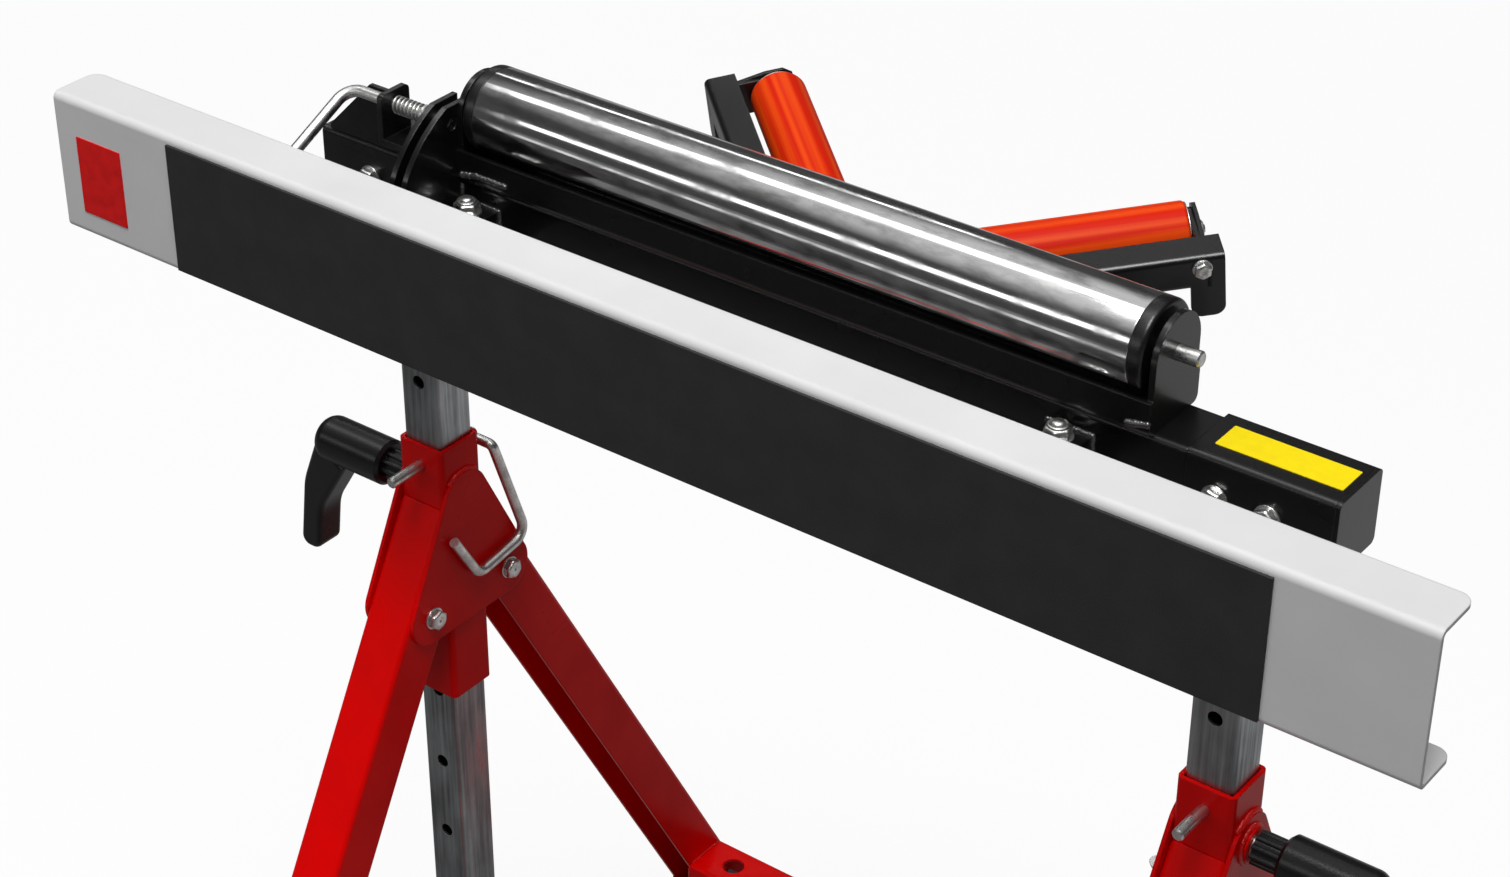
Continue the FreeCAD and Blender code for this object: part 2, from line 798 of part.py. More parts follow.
def make_pivot_block(sign):
    """Square bearing block with the head's pivot bore and two tapped holes."""
    body = new_body("PivotBlock")
    low, high = span(sign, f"({housing_starts[sign]} + running_gap)", "block_end")
    pad(body, "YZ", low, high, [square_loop(block_half)], [("0", "0", "shaft_radius + pin_play")])
    holes = [(x, "0", "bolt_radius") for x in bolt_places(sign)]
    depth = f"(housing_bolt_depth - {block_half})"
    pocket(body, "XZ", f"-{block_half} - running_gap", depth, circles=holes)
    return at_head(body)


def make_housing_bolts():
    bolts = []
    for sign in (-1, 1):
        for x in bolt_places(sign):
            bolt = hex_bolt("housing_wall + block_play + housing_bolt_depth")
            bolts.append(at_head(bolt, x, f"-{housing_half}", "0", along_minus_y))
    grouped(bolts, "housing_bolts")


# Index lock: two discs, a bracket with a tab, a bent pin and its spring
index_y = "(index_radius * cos(index_angle))"
index_z = "(index_radius * sin(index_angle))"
plate_edge = "(plate_radius + overrun)"


def make_index_plate(label, low, high, pivot_hole, holes, offcuts):
    """Disc with its bores, cut flat above and along the given loops."""
    body = new_body(label)
    rounds = [("0", "0", "plate_radius"), ("0", "0", pivot_hole)]
    pad(body, "YZ", low, high, circles=rounds + holes)
    for loop in offcuts + [box_loop(f"-{plate_edge}", plate_edge, "plate_top", plate_edge)]:
        pocket(body, "YZ", low, high, [loop])
    node(at_head(body), label)


def make_index_plates():
    turning_left = "(tube_left + plate_thick)"
    holes = []
    for turn in (-90, 0, 90):
        angle = f"(index_angle + {turn})"
        hole = (f"index_radius * cos{angle}", f"index_radius * sin{angle}")
        holes.append(hole + ("index_pin_radius + index_hole_play",))
    below = box_loop(f"-{plate_edge}", plate_edge, f"-{plate_edge}", "-plate_flat")
    make_index_plate("index_plate_turning", f"-{turning_left}", "-tube_left", "shaft_radius", holes, [below])
    pin_hole = [(index_y, index_z, "index_pin_radius + pin_play")]
    below = box_loop(f"-{plate_edge}", plate_edge, f"-{plate_edge}", f"-{housing_half}")
    behind = [("-plate_rear", housing_half), (housing_half, housing_half), (housing_half, f"-{plate_edge}")]
    behind += [(plate_edge, f"-{plate_edge}"), (plate_edge, plate_edge), ("-plate_rear", plate_edge)]
    make_index_plate("index_plate_fixed", f"-{fixed_plate_left}", f"-{fixed_plate_left} + plate_thick",
                     "shaft_radius + pin_play", pin_hole, [below, behind])


def make_pin_bracket():
    body = new_body("index_pin_bracket")
    low, high = f"({index_y} - tab_half)", f"({index_y} + tab_half)"
    floor = f"({index_z} - tab_floor)"
    top = f"({index_z} + tab_over)"
    tab = box_loop(low, high, f"{floor} - tab_thick", top)
    pad(body, "YZ", "-tab_start - tab_thick", "-tab_start", [tab],
        [(index_y, index_z, "index_pin_radius + pin_play")])
    soften(body, "YZ", tab[2:], "tab_corner")
    web = box_loop(low, high, f"{floor} - tab_thick", floor)
    pad(body, "YZ", "-tab_start", f"-{fixed_plate_left}", [web])
    node(at_head(body), body.Label)


index_collar_right = f"({fixed_plate_left} + index_travel + running_gap)"


def make_index_pin():
    tip = -value("tube_left - index_reach + index_travel")
    corner = -value("handle_start")
    points = [vector(tip, 0, 0), vector(corner, 0, 0)]
    points.append(vector(corner, -value("handle_out"), -value("handle_drop")))
    rod = swept(bent_path(points, value("handle_bend")), value("index_pin_radius"))
    place = vector(-value(index_collar_right), 0, 0)
    collar = Part.makeCylinder(value("index_collar_radius"), value("index_collar_thick"), place, vector(-1, 0, 0))
    shaped(rod.fuse(collar), "index_pin", "post_shift", index_y, f"head_height + {index_z}")


def arc_pair(start, start_way, end, end_way):
    """Two tangent arcs that join two points with given directions."""
    chord = end - start
    ways = start_way + end_way
    square = 2 * (1 - start_way.dot(end_way))
    along = chord.dot(ways)
    reach = (math.sqrt(along * along + square * chord.dot(chord)) - along) / square
    joint = (start + end + (start_way - end_way) * reach) / 2
    arcs = []
    for first, way, last in ((start, start_way, joint), (joint, None, end)):
        if way is None:
            control = end - end_way * reach
        else:
            control = start + start_way * reach
        base = (first + last) / 2
        cosine = (last - first).Length / 2 / (control - first).Length
        arcs.append(Part.Arc(first, (base + control * cosine) / (1 + cosine), last).toShape())
    return arcs


def make_spring():
    """Compression spring round the index pin, between its tab and its collar."""
    low = -value("tab_start - spring_seat - spring_wire")
    high = -value(f"{index_collar_right} + index_collar_thick + spring_seat + spring_wire")
    radius = value("spring_radius")
    steps = spring_curls * quarter_turns
    pitch = (high - low) / spring_curls
    slope = vector(pitch / (2 * math.pi), radius, 0).normalize()
    edges = []
    ends = []
    for step in range(steps + 1):
        angle = 2 * math.pi * step / quarter_turns
        place = vector(low + pitch * step / quarter_turns, radius * math.cos(angle), radius * math.sin(angle))
        way = vector(slope.x, -slope.y * math.sin(angle), slope.y * math.cos(angle))
        ends.append((place, way))
    for (start, start_way), (end, end_way) in zip(ends, ends[1:]):
        edges += arc_pair(start, start_way, end, end_way)
    print("spring least gap", round(pitch - 2 * value("spring_wire"), 2), "mm")
    shaped(swept(edges, value("spring_wire")), "index_spring", "post_shift", index_y,
           f"head_height + {index_z}")


# Tilting head
tube_half = "(tube_size / 2)"


def make_head_tube():
    body = new_body("head_tube")
    inner = f"({tube_half} - tube_wall)"
    pad(body, "YZ", "-tube_left", "tube_right", [square_loop(tube_half), square_loop(inner)])
    soften(body, "YZ", square_corners(tube_half), "tube_corner")
    node(at_head(body), body.Label)


def make_pivot_shaft(sign):
    """Square plug in the tube's end with the round shaft that turns in the block."""
    body = new_body("PivotShaft")
    end = "tube_right" if sign > 0 else "tube_left"
    plug = f"({tube_half} - tube_wall - pin_play)"
    low, high = span(sign, f"({end} - shaft_plug)", end)
    pad(body, "YZ", low, high, [square_loop(plug)])
    low, high = span(sign, end, "(block_end - running_gap)")
    pad(body, "YZ", low, high, circles=[("0", "0", "shaft_radius")])
    return at_head(body)


socket_middle = "(socket_height / 2 - tube_size / 2)"


def make_socket(side, sign):
    """Square stub welded to the tube's front, open towards the beam."""
    body = new_body("beam_socket_" + side)
    low, high = f"-{tube_half}", f"socket_height - {tube_half}"
    outer = box_loop("-socket_width / 2", "socket_width / 2", low, high)
    inner = box_loop("-socket_width / 2 + socket_wall", "socket_width / 2 - socket_wall",
                     f"{low} + socket_wall", f"{high} - socket_wall")
    pad(body, "XZ", "-socket_front", f"-{tube_half}", [outer, inner])
    hole = ("0", "-beam_bolt_out", "bolt_radius + pin_play")
    pocket(body, "XY", f"{high} - socket_wall - running_gap", f"{high} + running_gap", circles=[hole])
    node(locate(body, f"{sign} * socket_spacing / 2", z="head_height"), body.Label)


def make_tongue(sign):
    """Square bar from the beam's web into a socket."""
    body = new_body("BeamTongue")
    half_width = "(socket_width / 2 - socket_wall - tongue_play)"
    half_height = "(socket_height / 2 - socket_wall - tongue_play)"
    outer = box_loop(f"-{half_width}", half_width, f"-{half_height}", half_height)
    inner = box_loop(f"-{half_width} + socket_wall", f"{half_width} - socket_wall",
                     f"-{half_height} + socket_wall", f"{half_height} - socket_wall")
    pad(body, "XZ", "beam_wall - beam_front", "-tongue_rear", [outer, inner])
    return locate(body, f"{sign} * socket_spacing / 2", z=f"head_height + {socket_middle}")


def make_beam_bolts():
    """Threaded ends with a low lock nut and a washer on each socket."""
    bolts = []
    for sign in (-1, 1):
        seat = "(washer_thick + nut_thick)"
        parts = [cylinder("washer_radius", "0", "washer_thick")]
        parts.append(hexagon("hex_radius", "washer_thick", seat))
        parts.append(cylinder("nut_collar_radius", seat, f"{seat} + nut_collar"))
        parts.append(cylinder("bolt_radius", "-socket_wall - tongue_play", f"{seat} + thread_over"))
        top = f"(socket_height - {tube_half})"
        place = f"{sign} * socket_spacing / 2"
        bolts.append(locate(fused(parts), place, "-beam_bolt_out", f"head_height + {top}"))
    grouped(bolts, "beam_bolts")


def make_beam():
    body = new_body("beam")
    front, back = "-beam_front", "(beam_depth - beam_front)"
    web = "(beam_wall - beam_front)"
    low, high = "(beam_above - beam_height)", "beam_above"
    points = [(front, low), (back, low), (back, f"{low} + beam_wall"), (web, f"{low} + beam_wall")]
    points += [(web, f"{high} - beam_wall"), (back, f"{high} - beam_wall"), (back, high), (front, high)]
    pad(body, "YZ", "-beam_length / 2", "beam_length / 2", [points])
    soften(body, "YZ", [points[0], points[7]], "beam_bend")
    soften(body, "YZ", [points[3], points[4]], "beam_bend - beam_wall")
    soften(body, "XY", [("-beam_length / 2", back), ("beam_length / 2", back)], "beam_corner")
    node(locate(body, z="head_height"), body.Label)


def make_beam_pad():
    start = "(pad_left - beam_length / 2)"
    low = "(head_height + beam_above - beam_height + pad_bottom_margin)"
    high = "(head_height + beam_above - pad_top_margin)"
    face = "-beam_front"
    thing = block(start, f"{start} + pad_length", f"{face} - pad_thick", face, low, high)
    node(thing, "beam_pad")


def make_roller_bracket():
    """Folded tray on the tube with a round-topped ear at each end."""
    body = new_body("roller_bracket")
    base = tube_half
    half, inner = "tray_half", "(tray_half - tray_wall)"
    points = [(f"-{half}", base), (half, base), (half, "tray_height"), (inner, "tray_height")]
    points += [(inner, f"{base} + tray_wall"), (f"-{inner}", f"{base} + tray_wall")]
    points += [(f"-{inner}", "tray_height"), (f"-{half}", "tray_height")]
    pad(body, "YZ", "-ear_left", "ear_right", [points])
    soften(body, "YZ", points[:2], "tray_bend")
    soften(body, "YZ", points[4:6], "tray_bend - tray_wall")
    top = "(roller_height + ear_radius)"
    ear = box_loop("-ear_radius", "ear_radius", f"{base} + tray_wall - pin_play", top)
    for low, high in (("-ear_left", "ear_thick - ear_left"), ("ear_right - ear_thick", "ear_right")):
        pad(body, "YZ", low, high, [ear])
    soften(body, "YZ", ear[2:], "ear_radius - pin_play")
    axle = ("0", "roller_height", "axle_radius")
    pocket(body, "YZ", "-ear_left - running_gap", "ear_right + running_gap", circles=[axle])
    node(at_head(body), body.Label)


def make_roller():
    low, high = "-ear_left", "axle_out"
    axle = [(low, "0"), (high, "0"), (high, "axle_radius - axle_chamfer")]
    axle += [(f"{high} - axle_chamfer", "axle_radius"), (low, "axle_radius")]
    node(at_head(turned("roller_axle", axle), z="roller_height"), "roller_axle")
    left, right = "(ring_width - roller_left)", "(roller_right - ring_width)"
    inner = "(roller_radius - roller_wall)"
    shell = [(left, inner), (right, inner), (right, "roller_radius"), (left, "roller_radius")]
    node(at_head(turned("main_roller", shell), z="roller_height"), "main_roller")
    rings = []
    for sign, end in ((-1, "roller_left"), (1, "roller_right")):
        start = f"({end} - ring_width)"
        bore = "(axle_radius + pin_play)"
        ring = [(f"{start} - ring_spigot", bore), (f"{end} + ring_hub", bore)]
        ring += [(f"{end} + ring_hub", "ring_hub_radius"), (end, "ring_hub_radius")]
        ring += [(end, "roller_radius - ring_round"), (f"{end} - ring_round", "roller_radius")]
        ring += [(start, "roller_radius"), (start, inner), (f"{start} - ring_spigot", inner)]
        rings.append(at_head(turned("RollerRing", mirrored(ring, sign)), z="roller_height"))
    grouped(rings, "roller_rings")


# V rollers behind the head
def at_fork(thing, hand):
    """Place a piece drawn along a V roller's axis; hand is 1 for the right roller."""
    place = "vector(post_shift + fork_shift; fork_back; head_height + fork_height)"
    turn = f"rotation(vector(1; 0; 0); fork_tilt) * rotation(vector(0; 0; 1); 90 - {hand} * fork_angle)"
    thing.setExpression("Placement", bound(f"placement({place}; {turn})"))
    return thing


def make_fork_mount():
    y, x = tube_half, "(post_shift + fork_shift)"
    thing = block(f"{x} - mount_half", f"{x} + mount_half", y, f"{y} + mount_thick",
                  "head_height - mount_low", "head_height + mount_high")
    node(thing, "v_mount")


def make_arm(side, hand):
    """Channel beside a V roller: an ear at each end for its axle, a tab under its tip."""
    body = new_body("ArmChannel")
    outer, inner = "arm_outer", "(arm_outer - arm_wall)"
    low, high = "-arm_low", "arm_high"
    points = [("arm_inner", low), (outer, low), (outer, high), ("arm_inner", high)]
    points += [("arm_inner", f"{high} - arm_wall"), (inner, f"{high} - arm_wall")]
    points += [(inner, f"{low} + arm_wall"), ("arm_inner", f"{low} + arm_wall")]
    points = mirrored(points, -hand)
    pad(body, "YZ", "0", "arm_end", [points])
    soften(body, "YZ", points[1:3], "arm_bend")
    soften(body, "YZ", points[5:7], "arm_bend - arm_wall")
    ear = mirrored(box_loop("-arm_ear_over", inner, low, high), -hand)
    near = "(fork_roller_start - fork_roller_gap)"
    far = "(fork_roller_end + fork_roller_gap)"
    for start, end in ((f"{near} - arm_ear", near), (far, f"{far} + arm_ear")):
        pad(body, "YZ", start, end, [ear])
    soften(body, "YZ", [ear[0], ear[3]], "arm_ear_corner")
    axle = ("0", "0", "fork_axle_radius")
    pocket(body, "YZ", f"{near} - arm_ear - running_gap", f"{far} + arm_ear + running_gap", circles=[axle])
    tab = box_loop("arm_end - arm_tab", "arm_end", "-arm_tab_low", f"{low} + arm_bend")
    left, right = span(-hand, inner, outer)
    pad(body, "XZ", left, right, [tab])
    soften(body, "XZ", tab[:2], "arm_tab_corner")
    at_fork(body, hand)
    face = f"({tube_half} + mount_thick)"
    x = "(post_shift + fork_shift)"
    front = block(f"{x} - 2 * mount_half", f"{x} + 2 * mount_half", f"-{tube_half}", face,
                  "head_height - tube_size", "head_height + tube_size")
    node(cut(body, front, "v_arm_" + side), "v_arm_" + side)


def make_fork_axle(hand):
    near = "(fork_roller_start - fork_roller_gap - arm_ear)"
    far = "(fork_roller_end + fork_roller_gap + arm_ear + fork_axle_over)"
    outline = [(near, "0"), (far, "0"), (far, "fork_axle_radius"), (near, "fork_axle_radius")]
    return at_fork(turned("ForkAxle", outline), hand)


def make_fork_roller(side, hand):
    low, high = "fork_roller_start", "fork_roller_end"
    bore, outer = "(fork_axle_radius + pin_play)", "fork_roller_radius"
    outline = [(low, bore), (high, bore), (high, f"{outer} - fork_roller_round")]
    outline += [(f"{high} - fork_roller_round", outer), (f"{low} + fork_roller_round", outer)]
    outline += [(low, f"{outer} - fork_roller_round")]
    node(at_fork(turned("v_roller_" + side, outline), hand), "v_roller_" + side)


for side, sign in (("left", -1), ("right", 1)):
    make_collar(side, sign)
    make_gusset(side, sign, "inner", -sign)
    make_gusset(side, sign, "outer", sign)
    make_clamp_boss(side, sign)
    make_pivot_bolts(side, sign)
    make_lock_pin(side, sign)
    make_bail(side, sign)
    make_clamp(side, sign)
    make_post(side, sign)
    make_housing(side, sign)
    make_socket(side, sign)
    make_arm(side, sign)
    make_fork_roller(side, sign)
for place, hand in (("front", -1), ("rear", 1)):
    make_cross_member(place, hand)
    for side, sign in (("left", -1), ("right", 1)):
        make_leg(place, hand, side, sign)
        make_foot(place, hand, side, sign)
grouped([make_plug(sign) for sign in (-1, 1)], "post_plugs")
grouped([make_housing_cap(sign) for sign in (-1, 1)], "housing_caps")
grouped([make_pivot_block(sign) for sign in (-1, 1)], "pivot_blocks")
grouped([make_pivot_shaft(sign) for sign in (-1, 1)], "pivot_shafts")
grouped([make_tongue(sign) for sign in (-1, 1)], "beam_tongues")
grouped([make_fork_axle(hand) for hand in (-1, 1)], "v_axles")
make_housing_bolts()
make_index_plates()
make_pin_bracket()
make_index_pin()
make_spring()
make_head_tube()
make_beam_bolts()
make_beam()
make_beam_pad()
make_roller_bracket()
make_roller()
make_fork_mount()

doc.recompute()
failed = [thing.Label for thing in doc.Objects if {"Invalid", "Error"} & set(thing.State)]
if failed:
    raise RuntimeError("failed objects: " + ", ".join(failed))
for thing in nodes:
    if thing.Shape.isNull() or not thing.Shape.isValid():
        raise RuntimeError("bad shape: " + thing.Label)
os.makedirs("parts", exist_ok=True)
for thing in nodes:
    thing.Shape.exportStep(os.path.join("parts", thing.Label + ".step"))
print(len(nodes), "nodes written")
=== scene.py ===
# Multi-purpose work table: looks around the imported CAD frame, Blender 4.5
import json
import math

import bpy
from mathutils import Matrix, Vector


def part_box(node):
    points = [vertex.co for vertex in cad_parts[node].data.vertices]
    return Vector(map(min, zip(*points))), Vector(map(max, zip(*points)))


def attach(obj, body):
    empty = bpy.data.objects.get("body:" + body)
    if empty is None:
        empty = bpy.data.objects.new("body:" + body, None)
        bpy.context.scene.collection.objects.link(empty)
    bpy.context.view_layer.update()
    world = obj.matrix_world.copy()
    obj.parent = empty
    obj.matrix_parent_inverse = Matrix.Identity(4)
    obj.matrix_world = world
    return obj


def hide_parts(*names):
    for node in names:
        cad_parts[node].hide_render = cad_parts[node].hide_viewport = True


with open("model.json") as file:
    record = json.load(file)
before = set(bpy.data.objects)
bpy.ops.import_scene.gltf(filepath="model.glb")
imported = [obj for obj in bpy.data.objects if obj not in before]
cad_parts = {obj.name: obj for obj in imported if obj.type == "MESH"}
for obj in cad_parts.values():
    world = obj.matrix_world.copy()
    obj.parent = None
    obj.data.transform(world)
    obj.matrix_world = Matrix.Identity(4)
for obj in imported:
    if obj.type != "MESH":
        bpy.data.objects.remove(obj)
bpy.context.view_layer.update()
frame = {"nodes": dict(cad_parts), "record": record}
nodes = frame["nodes"]
print("frame loaded:", len(nodes), "nodes")

mm = 0.001
leftPost, rightPost = -293, 327
headHeight = 830


# Colours and shader nodes
def linear(hexText):
    # sRGB hex text as the linear colour that shaders take
    channels = [int(hexText[at:at + 2], 16) / 255 for at in (1, 3, 5)]
    return (*[c / 12.92 if c <= 0.04045 else ((c + 0.055) / 1.055) ** 2.4 for c in channels], 1.0)


def put(tree, kind, inputs=None, **settings):
    # one node with its settings; an input is a value or another node's socket
    node = tree.nodes.new(kind)
    for name, value in settings.items():
        setattr(node, name, value)
    for name, value in (inputs or {}).items():
        if isinstance(value, bpy.types.NodeSocket):
            tree.links.new(value, node.inputs[name])
        else:
            node.inputs[name].default_value = value
    return node


def blankMaterial(name):
    material = bpy.data.materials.new(name)
    material.use_nodes = True
    material.node_tree.nodes.clear()
    return material, material.node_tree


def endMaterial(tree, shader):
    put(tree, "ShaderNodeOutputMaterial", {"Surface": shader.outputs[0]})


def endPrincipled(tree, tint, relief, values):
    inputs = {"Base Color": tint.outputs[2], "Normal": relief.outputs[0], **values}
    endMaterial(tree, put(tree, "ShaderNodeBsdfPrincipled", inputs))


def grain(tree, size, detail=3.0, stretch=(1, 1, 1), seed=0.0):
    # noise whose blobs measure about size metres, stretched along the object's axes
    place = put(tree, "ShaderNodeTexCoord")
    mapped = put(tree, "ShaderNodeMapping", {"Vector": place.outputs["Object"], "Scale": stretch,
                                             "Location": (seed, seed, seed)})
    return put(tree, "ShaderNodeTexNoise", {"Vector": mapped.outputs[0], "Scale": 1 / size,
                                            "Detail": detail})


def ranged(tree, source, low, high, fromLow=0.3, fromHigh=0.7):
    # the source's range, by default the usual one of noise, spread over low to high
    return put(tree, "ShaderNodeMapRange", {"Value": source, "From Min": fromLow, "From Max": fromHigh,
                                            "To Min": low, "To Max": high})


def mixed(tree, factor, first, second):
    # first to second hex colour; input 0 is the factor, 6 and 7 the colours, output 2 the mixed one
    return put(tree, "ShaderNodeMix", {0: factor, 6: linear(first), 7: linear(second)}, data_type="RGBA")


def skin(tree, height, strength, depth, edge):
    # fine relief over edges that the maker's tools left slightly round
    rounded = put(tree, "ShaderNodeBevel", {"Radius": edge}, samples=4)
    return put(tree, "ShaderNodeBump", {"Height": height, "Strength": strength, "Distance": depth,
                                        "Normal": rounded.outputs[0]})


enamel = {"cloud": 60 * mm, "peelDepth": 0.2 * mm, "edge": 1.3 * mm, "gloss": (0.85, 1.2),
          "coatRoughness": 0.08}


def glossPaint(name, colour, shade, roughness, peel=2.5 * mm, bump=0.12, coat=0.25, shine=0.5):
    # enamel sprayed on steel: wet gloss over faint orange peel, a little darker where it lies thin
    material, tree = blankMaterial(name)
    cloud = grain(tree, enamel["cloud"], 2.0)
    tint = mixed(tree, ranged(tree, cloud.outputs[0], 0.0, 1.0).outputs[0], colour, shade)
    peeling = grain(tree, peel, 2.0)
    relief = skin(tree, peeling.outputs[0], bump, enamel["peelDepth"], enamel["edge"])
    gloss = ranged(tree, cloud.outputs[0], *[roughness * share for share in enamel["gloss"]])
    endPrincipled(tree, tint, relief, {"Roughness": gloss.outputs[0], "Specular IOR Level": shine,
                                       "Coat Weight": coat,
                                       "Coat Roughness": enamel["coatRoughness"]})
    return material


steel = {"spread": 0.35, "sum": (0.75, 1.25), "markDepth": 0.1 * mm, "edge": 0.4 * mm}


def metal(name, colour, shade, roughness, streak=(1, 1, 1), size=1.5 * mm, bump=0.1, cloud=30 * mm):
    # bare or plated steel: drawn or tumbled marks over broad patches of duller metal
    material, tree = blankMaterial(name)
    spread = steel["spread"]
    marks = grain(tree, size, 4.0, streak)
    patch = grain(tree, cloud, 3.0, [(1 + s) / 2 for s in streak], 3.0)
    both = put(tree, "ShaderNodeMath", {0: marks.outputs[0], 1: patch.outputs[0]}, operation="ADD")
    tint = mixed(tree, ranged(tree, both.outputs[0], 0.0, 1.0, *steel["sum"]).outputs[0], colour, shade)
    dull, dullest = roughness * (1 - spread), roughness * (1 + spread)
    gloss = ranged(tree, both.outputs[0], dull, dullest, *steel["sum"])
    relief = skin(tree, marks.outputs[0], bump, steel["markDepth"], steel["edge"])
    endPrincipled(tree, tint, relief, {"Metallic": 1.0, "Roughness": gloss.outputs[0]})
    return material


moulding = {"flow": 25 * mm, "poreDepth": 0.15 * mm, "edge": 0.6 * mm, "gloss": (0.85, 1.15)}


def moulded(name, colour, shade, roughness, texture=0.5 * mm, bump=0.25):
    # moulded plastic or rubber with a fine spark-eroded texture and faint flow marks
    material, tree = blankMaterial(name)
    flow = grain(tree, moulding["flow"], 2.0)
    tint = mixed(tree, ranged(tree, flow.outputs[0], 0.0, 1.0).outputs[0], colour, shade)
    pores = grain(tree, texture, 3.0)
    relief = skin(tree, pores.outputs[0], bump, moulding["poreDepth"], moulding["edge"])
    gloss = ranged(tree, pores.outputs[0], *[roughness * share for share in moulding["gloss"]])
    endPrincipled(tree, tint, relief, {"Roughness": gloss.outputs[0]})
    return material


mill = {"blotch": 9 * mm, "blotchStretch": (0.35, 1, 1), "line": 1.6 * mm, "lineStretch": (0.01, 1, 1),
        "lineBump": 0.04, "lineDepth": 0.04 * mm, "edge": 0.3 * mm, "duller": (0.42, 0.66),
        "gloss": (0.7, 1.8), "rougher": (0.42, 0.68)}


def rolledSteel(name, bright, dull, roughness):
    # precision tube: blotchy mill finish with faint drawn lines along the roller
    material, tree = blankMaterial(name)
    blotch = grain(tree, mill["blotch"], 5.0, mill["blotchStretch"])
    lines = grain(tree, mill["line"], 3.0, mill["lineStretch"], 2.0)
    tint = mixed(tree, ranged(tree, blotch.outputs[0], 0.0, 1.0, *mill["duller"]).outputs[0], bright, dull)
    worn = ranged(tree, blotch.outputs[0], *[roughness * share for share in mill["gloss"]],
                  *mill["rougher"])
    relief = skin(tree, lines.outputs[0], mill["lineBump"], mill["lineDepth"], mill["edge"])
    endPrincipled(tree, tint, relief, {"Metallic": 1.0, "Roughness": worn.outputs[0]})
    return material


sleeve = {"streak": 7 * mm, "stretch": (1, 1, 0.012), "orange": "#ec4a0a", "red": "#d62003",
          "redder": (0.4, 0.62), "bump": 0.1, "depth": 0.1 * mm, "edge": 0.6 * mm,
          "roughness": 0.5, "shine": 0.12}


def streakedPlastic(name, at=(0, 0, 0), turn=(0, 0, 0)):
    # sleeve whose colour runs in orange and deep red streaks along its own axis
    material, tree = blankMaterial(name)
    place = put(tree, "ShaderNodeTexCoord")
    local = put(tree, "ShaderNodeMapping", {"Vector": place.outputs["Object"], "Location": at,
                                            "Rotation": turn}, vector_type="TEXTURE")
    drawn = put(tree, "ShaderNodeMapping", {"Vector": local.outputs[0], "Scale": sleeve["stretch"]})
    streak = put(tree, "ShaderNodeTexNoise", {"Vector": drawn.outputs[0], "Scale": 1 / sleeve["streak"],
                                              "Detail": 3.0})
    share = ranged(tree, streak.outputs[0], 0.0, 1.0, *sleeve["redder"])
    tint = mixed(tree, share.outputs[0], sleeve["orange"], sleeve["red"])
    relief = skin(tree, streak.outputs[0], sleeve["bump"], sleeve["depth"], sleeve["edge"])
    endPrincipled(tree, tint, relief, {"Roughness": sleeve["roughness"],
                                       "Specular IOR Level": sleeve["shine"]})
    return material


upright = (1, 1, 0.03)
finishes = {
    "red_paint": glossPaint("RedEnamel", "#f80202", "#e60101", 0.3, coat=0.0, shine=0.12),
    "black_paint": glossPaint("BlackEnamel", "#111112", "#0c0c0d", 0.26),
    "grey_paint": glossPaint("GreyPowderCoat", "#dfdfe0", "#d9d9da", 0.42, 1.6 * mm, 0.15, 0.0),
    "zinc_steel": metal("ZincGreySteel", "#b2b5b7", "#7d8082", 0.36, upright, 2.5 * mm),
    "zinc_plate": metal("BrightZinc", "#f0f0ee", "#c4c4c1", 0.36, size=1.1 * mm, bump=0.04, cloud=9 * mm),
    "bearing_steel": metal("MachinedSteel", "#9a9a9a", "#7d7d7d", 0.35),
    "roller_chrome": rolledSteel("RolledSteel", "#eaeaea", "#a6a6a5", 0.13),
    "red_roller": streakedPlastic("RedRollerPlastic"),
    "black_plastic": moulded("BlackPlastic", "#131314", "#0e0e0f", 0.3),
    "black_rubber": moulded("BlackPadRubber", "#2a2a2b", "#242425", 0.8, 0.7 * mm, 0.5),
}

slotOf = {row["node"]: row["material_slot"] for row in frame["record"]["subparts"]}
for name, node in nodes.items():
    node.data.materials.clear()
    node.data.materials.append(finishes[slotOf[name]])
print("materials set:", len(finishes))


# Ways to make a piece
def finishPiece(mesh, name, body, replaced=()):
    piece = bpy.data.objects.new(name, mesh)
    bpy.context.scene.collection.objects.link(piece)
    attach(piece, body)
    if replaced:
        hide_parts(*replaced)
    return piece


def meshOf(name, points, faces, slot, smooth=True):
    mesh = bpy.data.meshes.new(name)
    mesh.from_pydata([tuple(point) for point in points], [], faces)
    mesh.materials.append(finishes[slot])
    for polygon in mesh.polygons:
        polygon.use_smooth = smooth
    mesh.validate()
    return mesh


def lathe(shells, place, steps):
    # closed outlines of (height, radius, flats) turned about the local Z axis; flats 6 gives a hexagon
    points, faces = [], []
    for outline in shells:
        first = len(points)
        for step in range(steps):
            angle = 2 * math.pi * step / steps
            for height, radius, flats in outline:
                reach = radius
                if flats:
                    sector = 2 * math.pi / flats
                    reach = radius / math.cos((angle + sector / 2) % sector - sector / 2)
                points.append(place @ Vector((reach * math.cos(angle), reach * math.sin(angle), height)))
        size = len(outline)
        for step in range(steps):
            here, there = first + step * size, first + (step + 1) % steps * size
            for at in range(size):
                following = (at + 1) % size
                faces.append((here + at, there + at, there + following, here + following))
    return points, faces


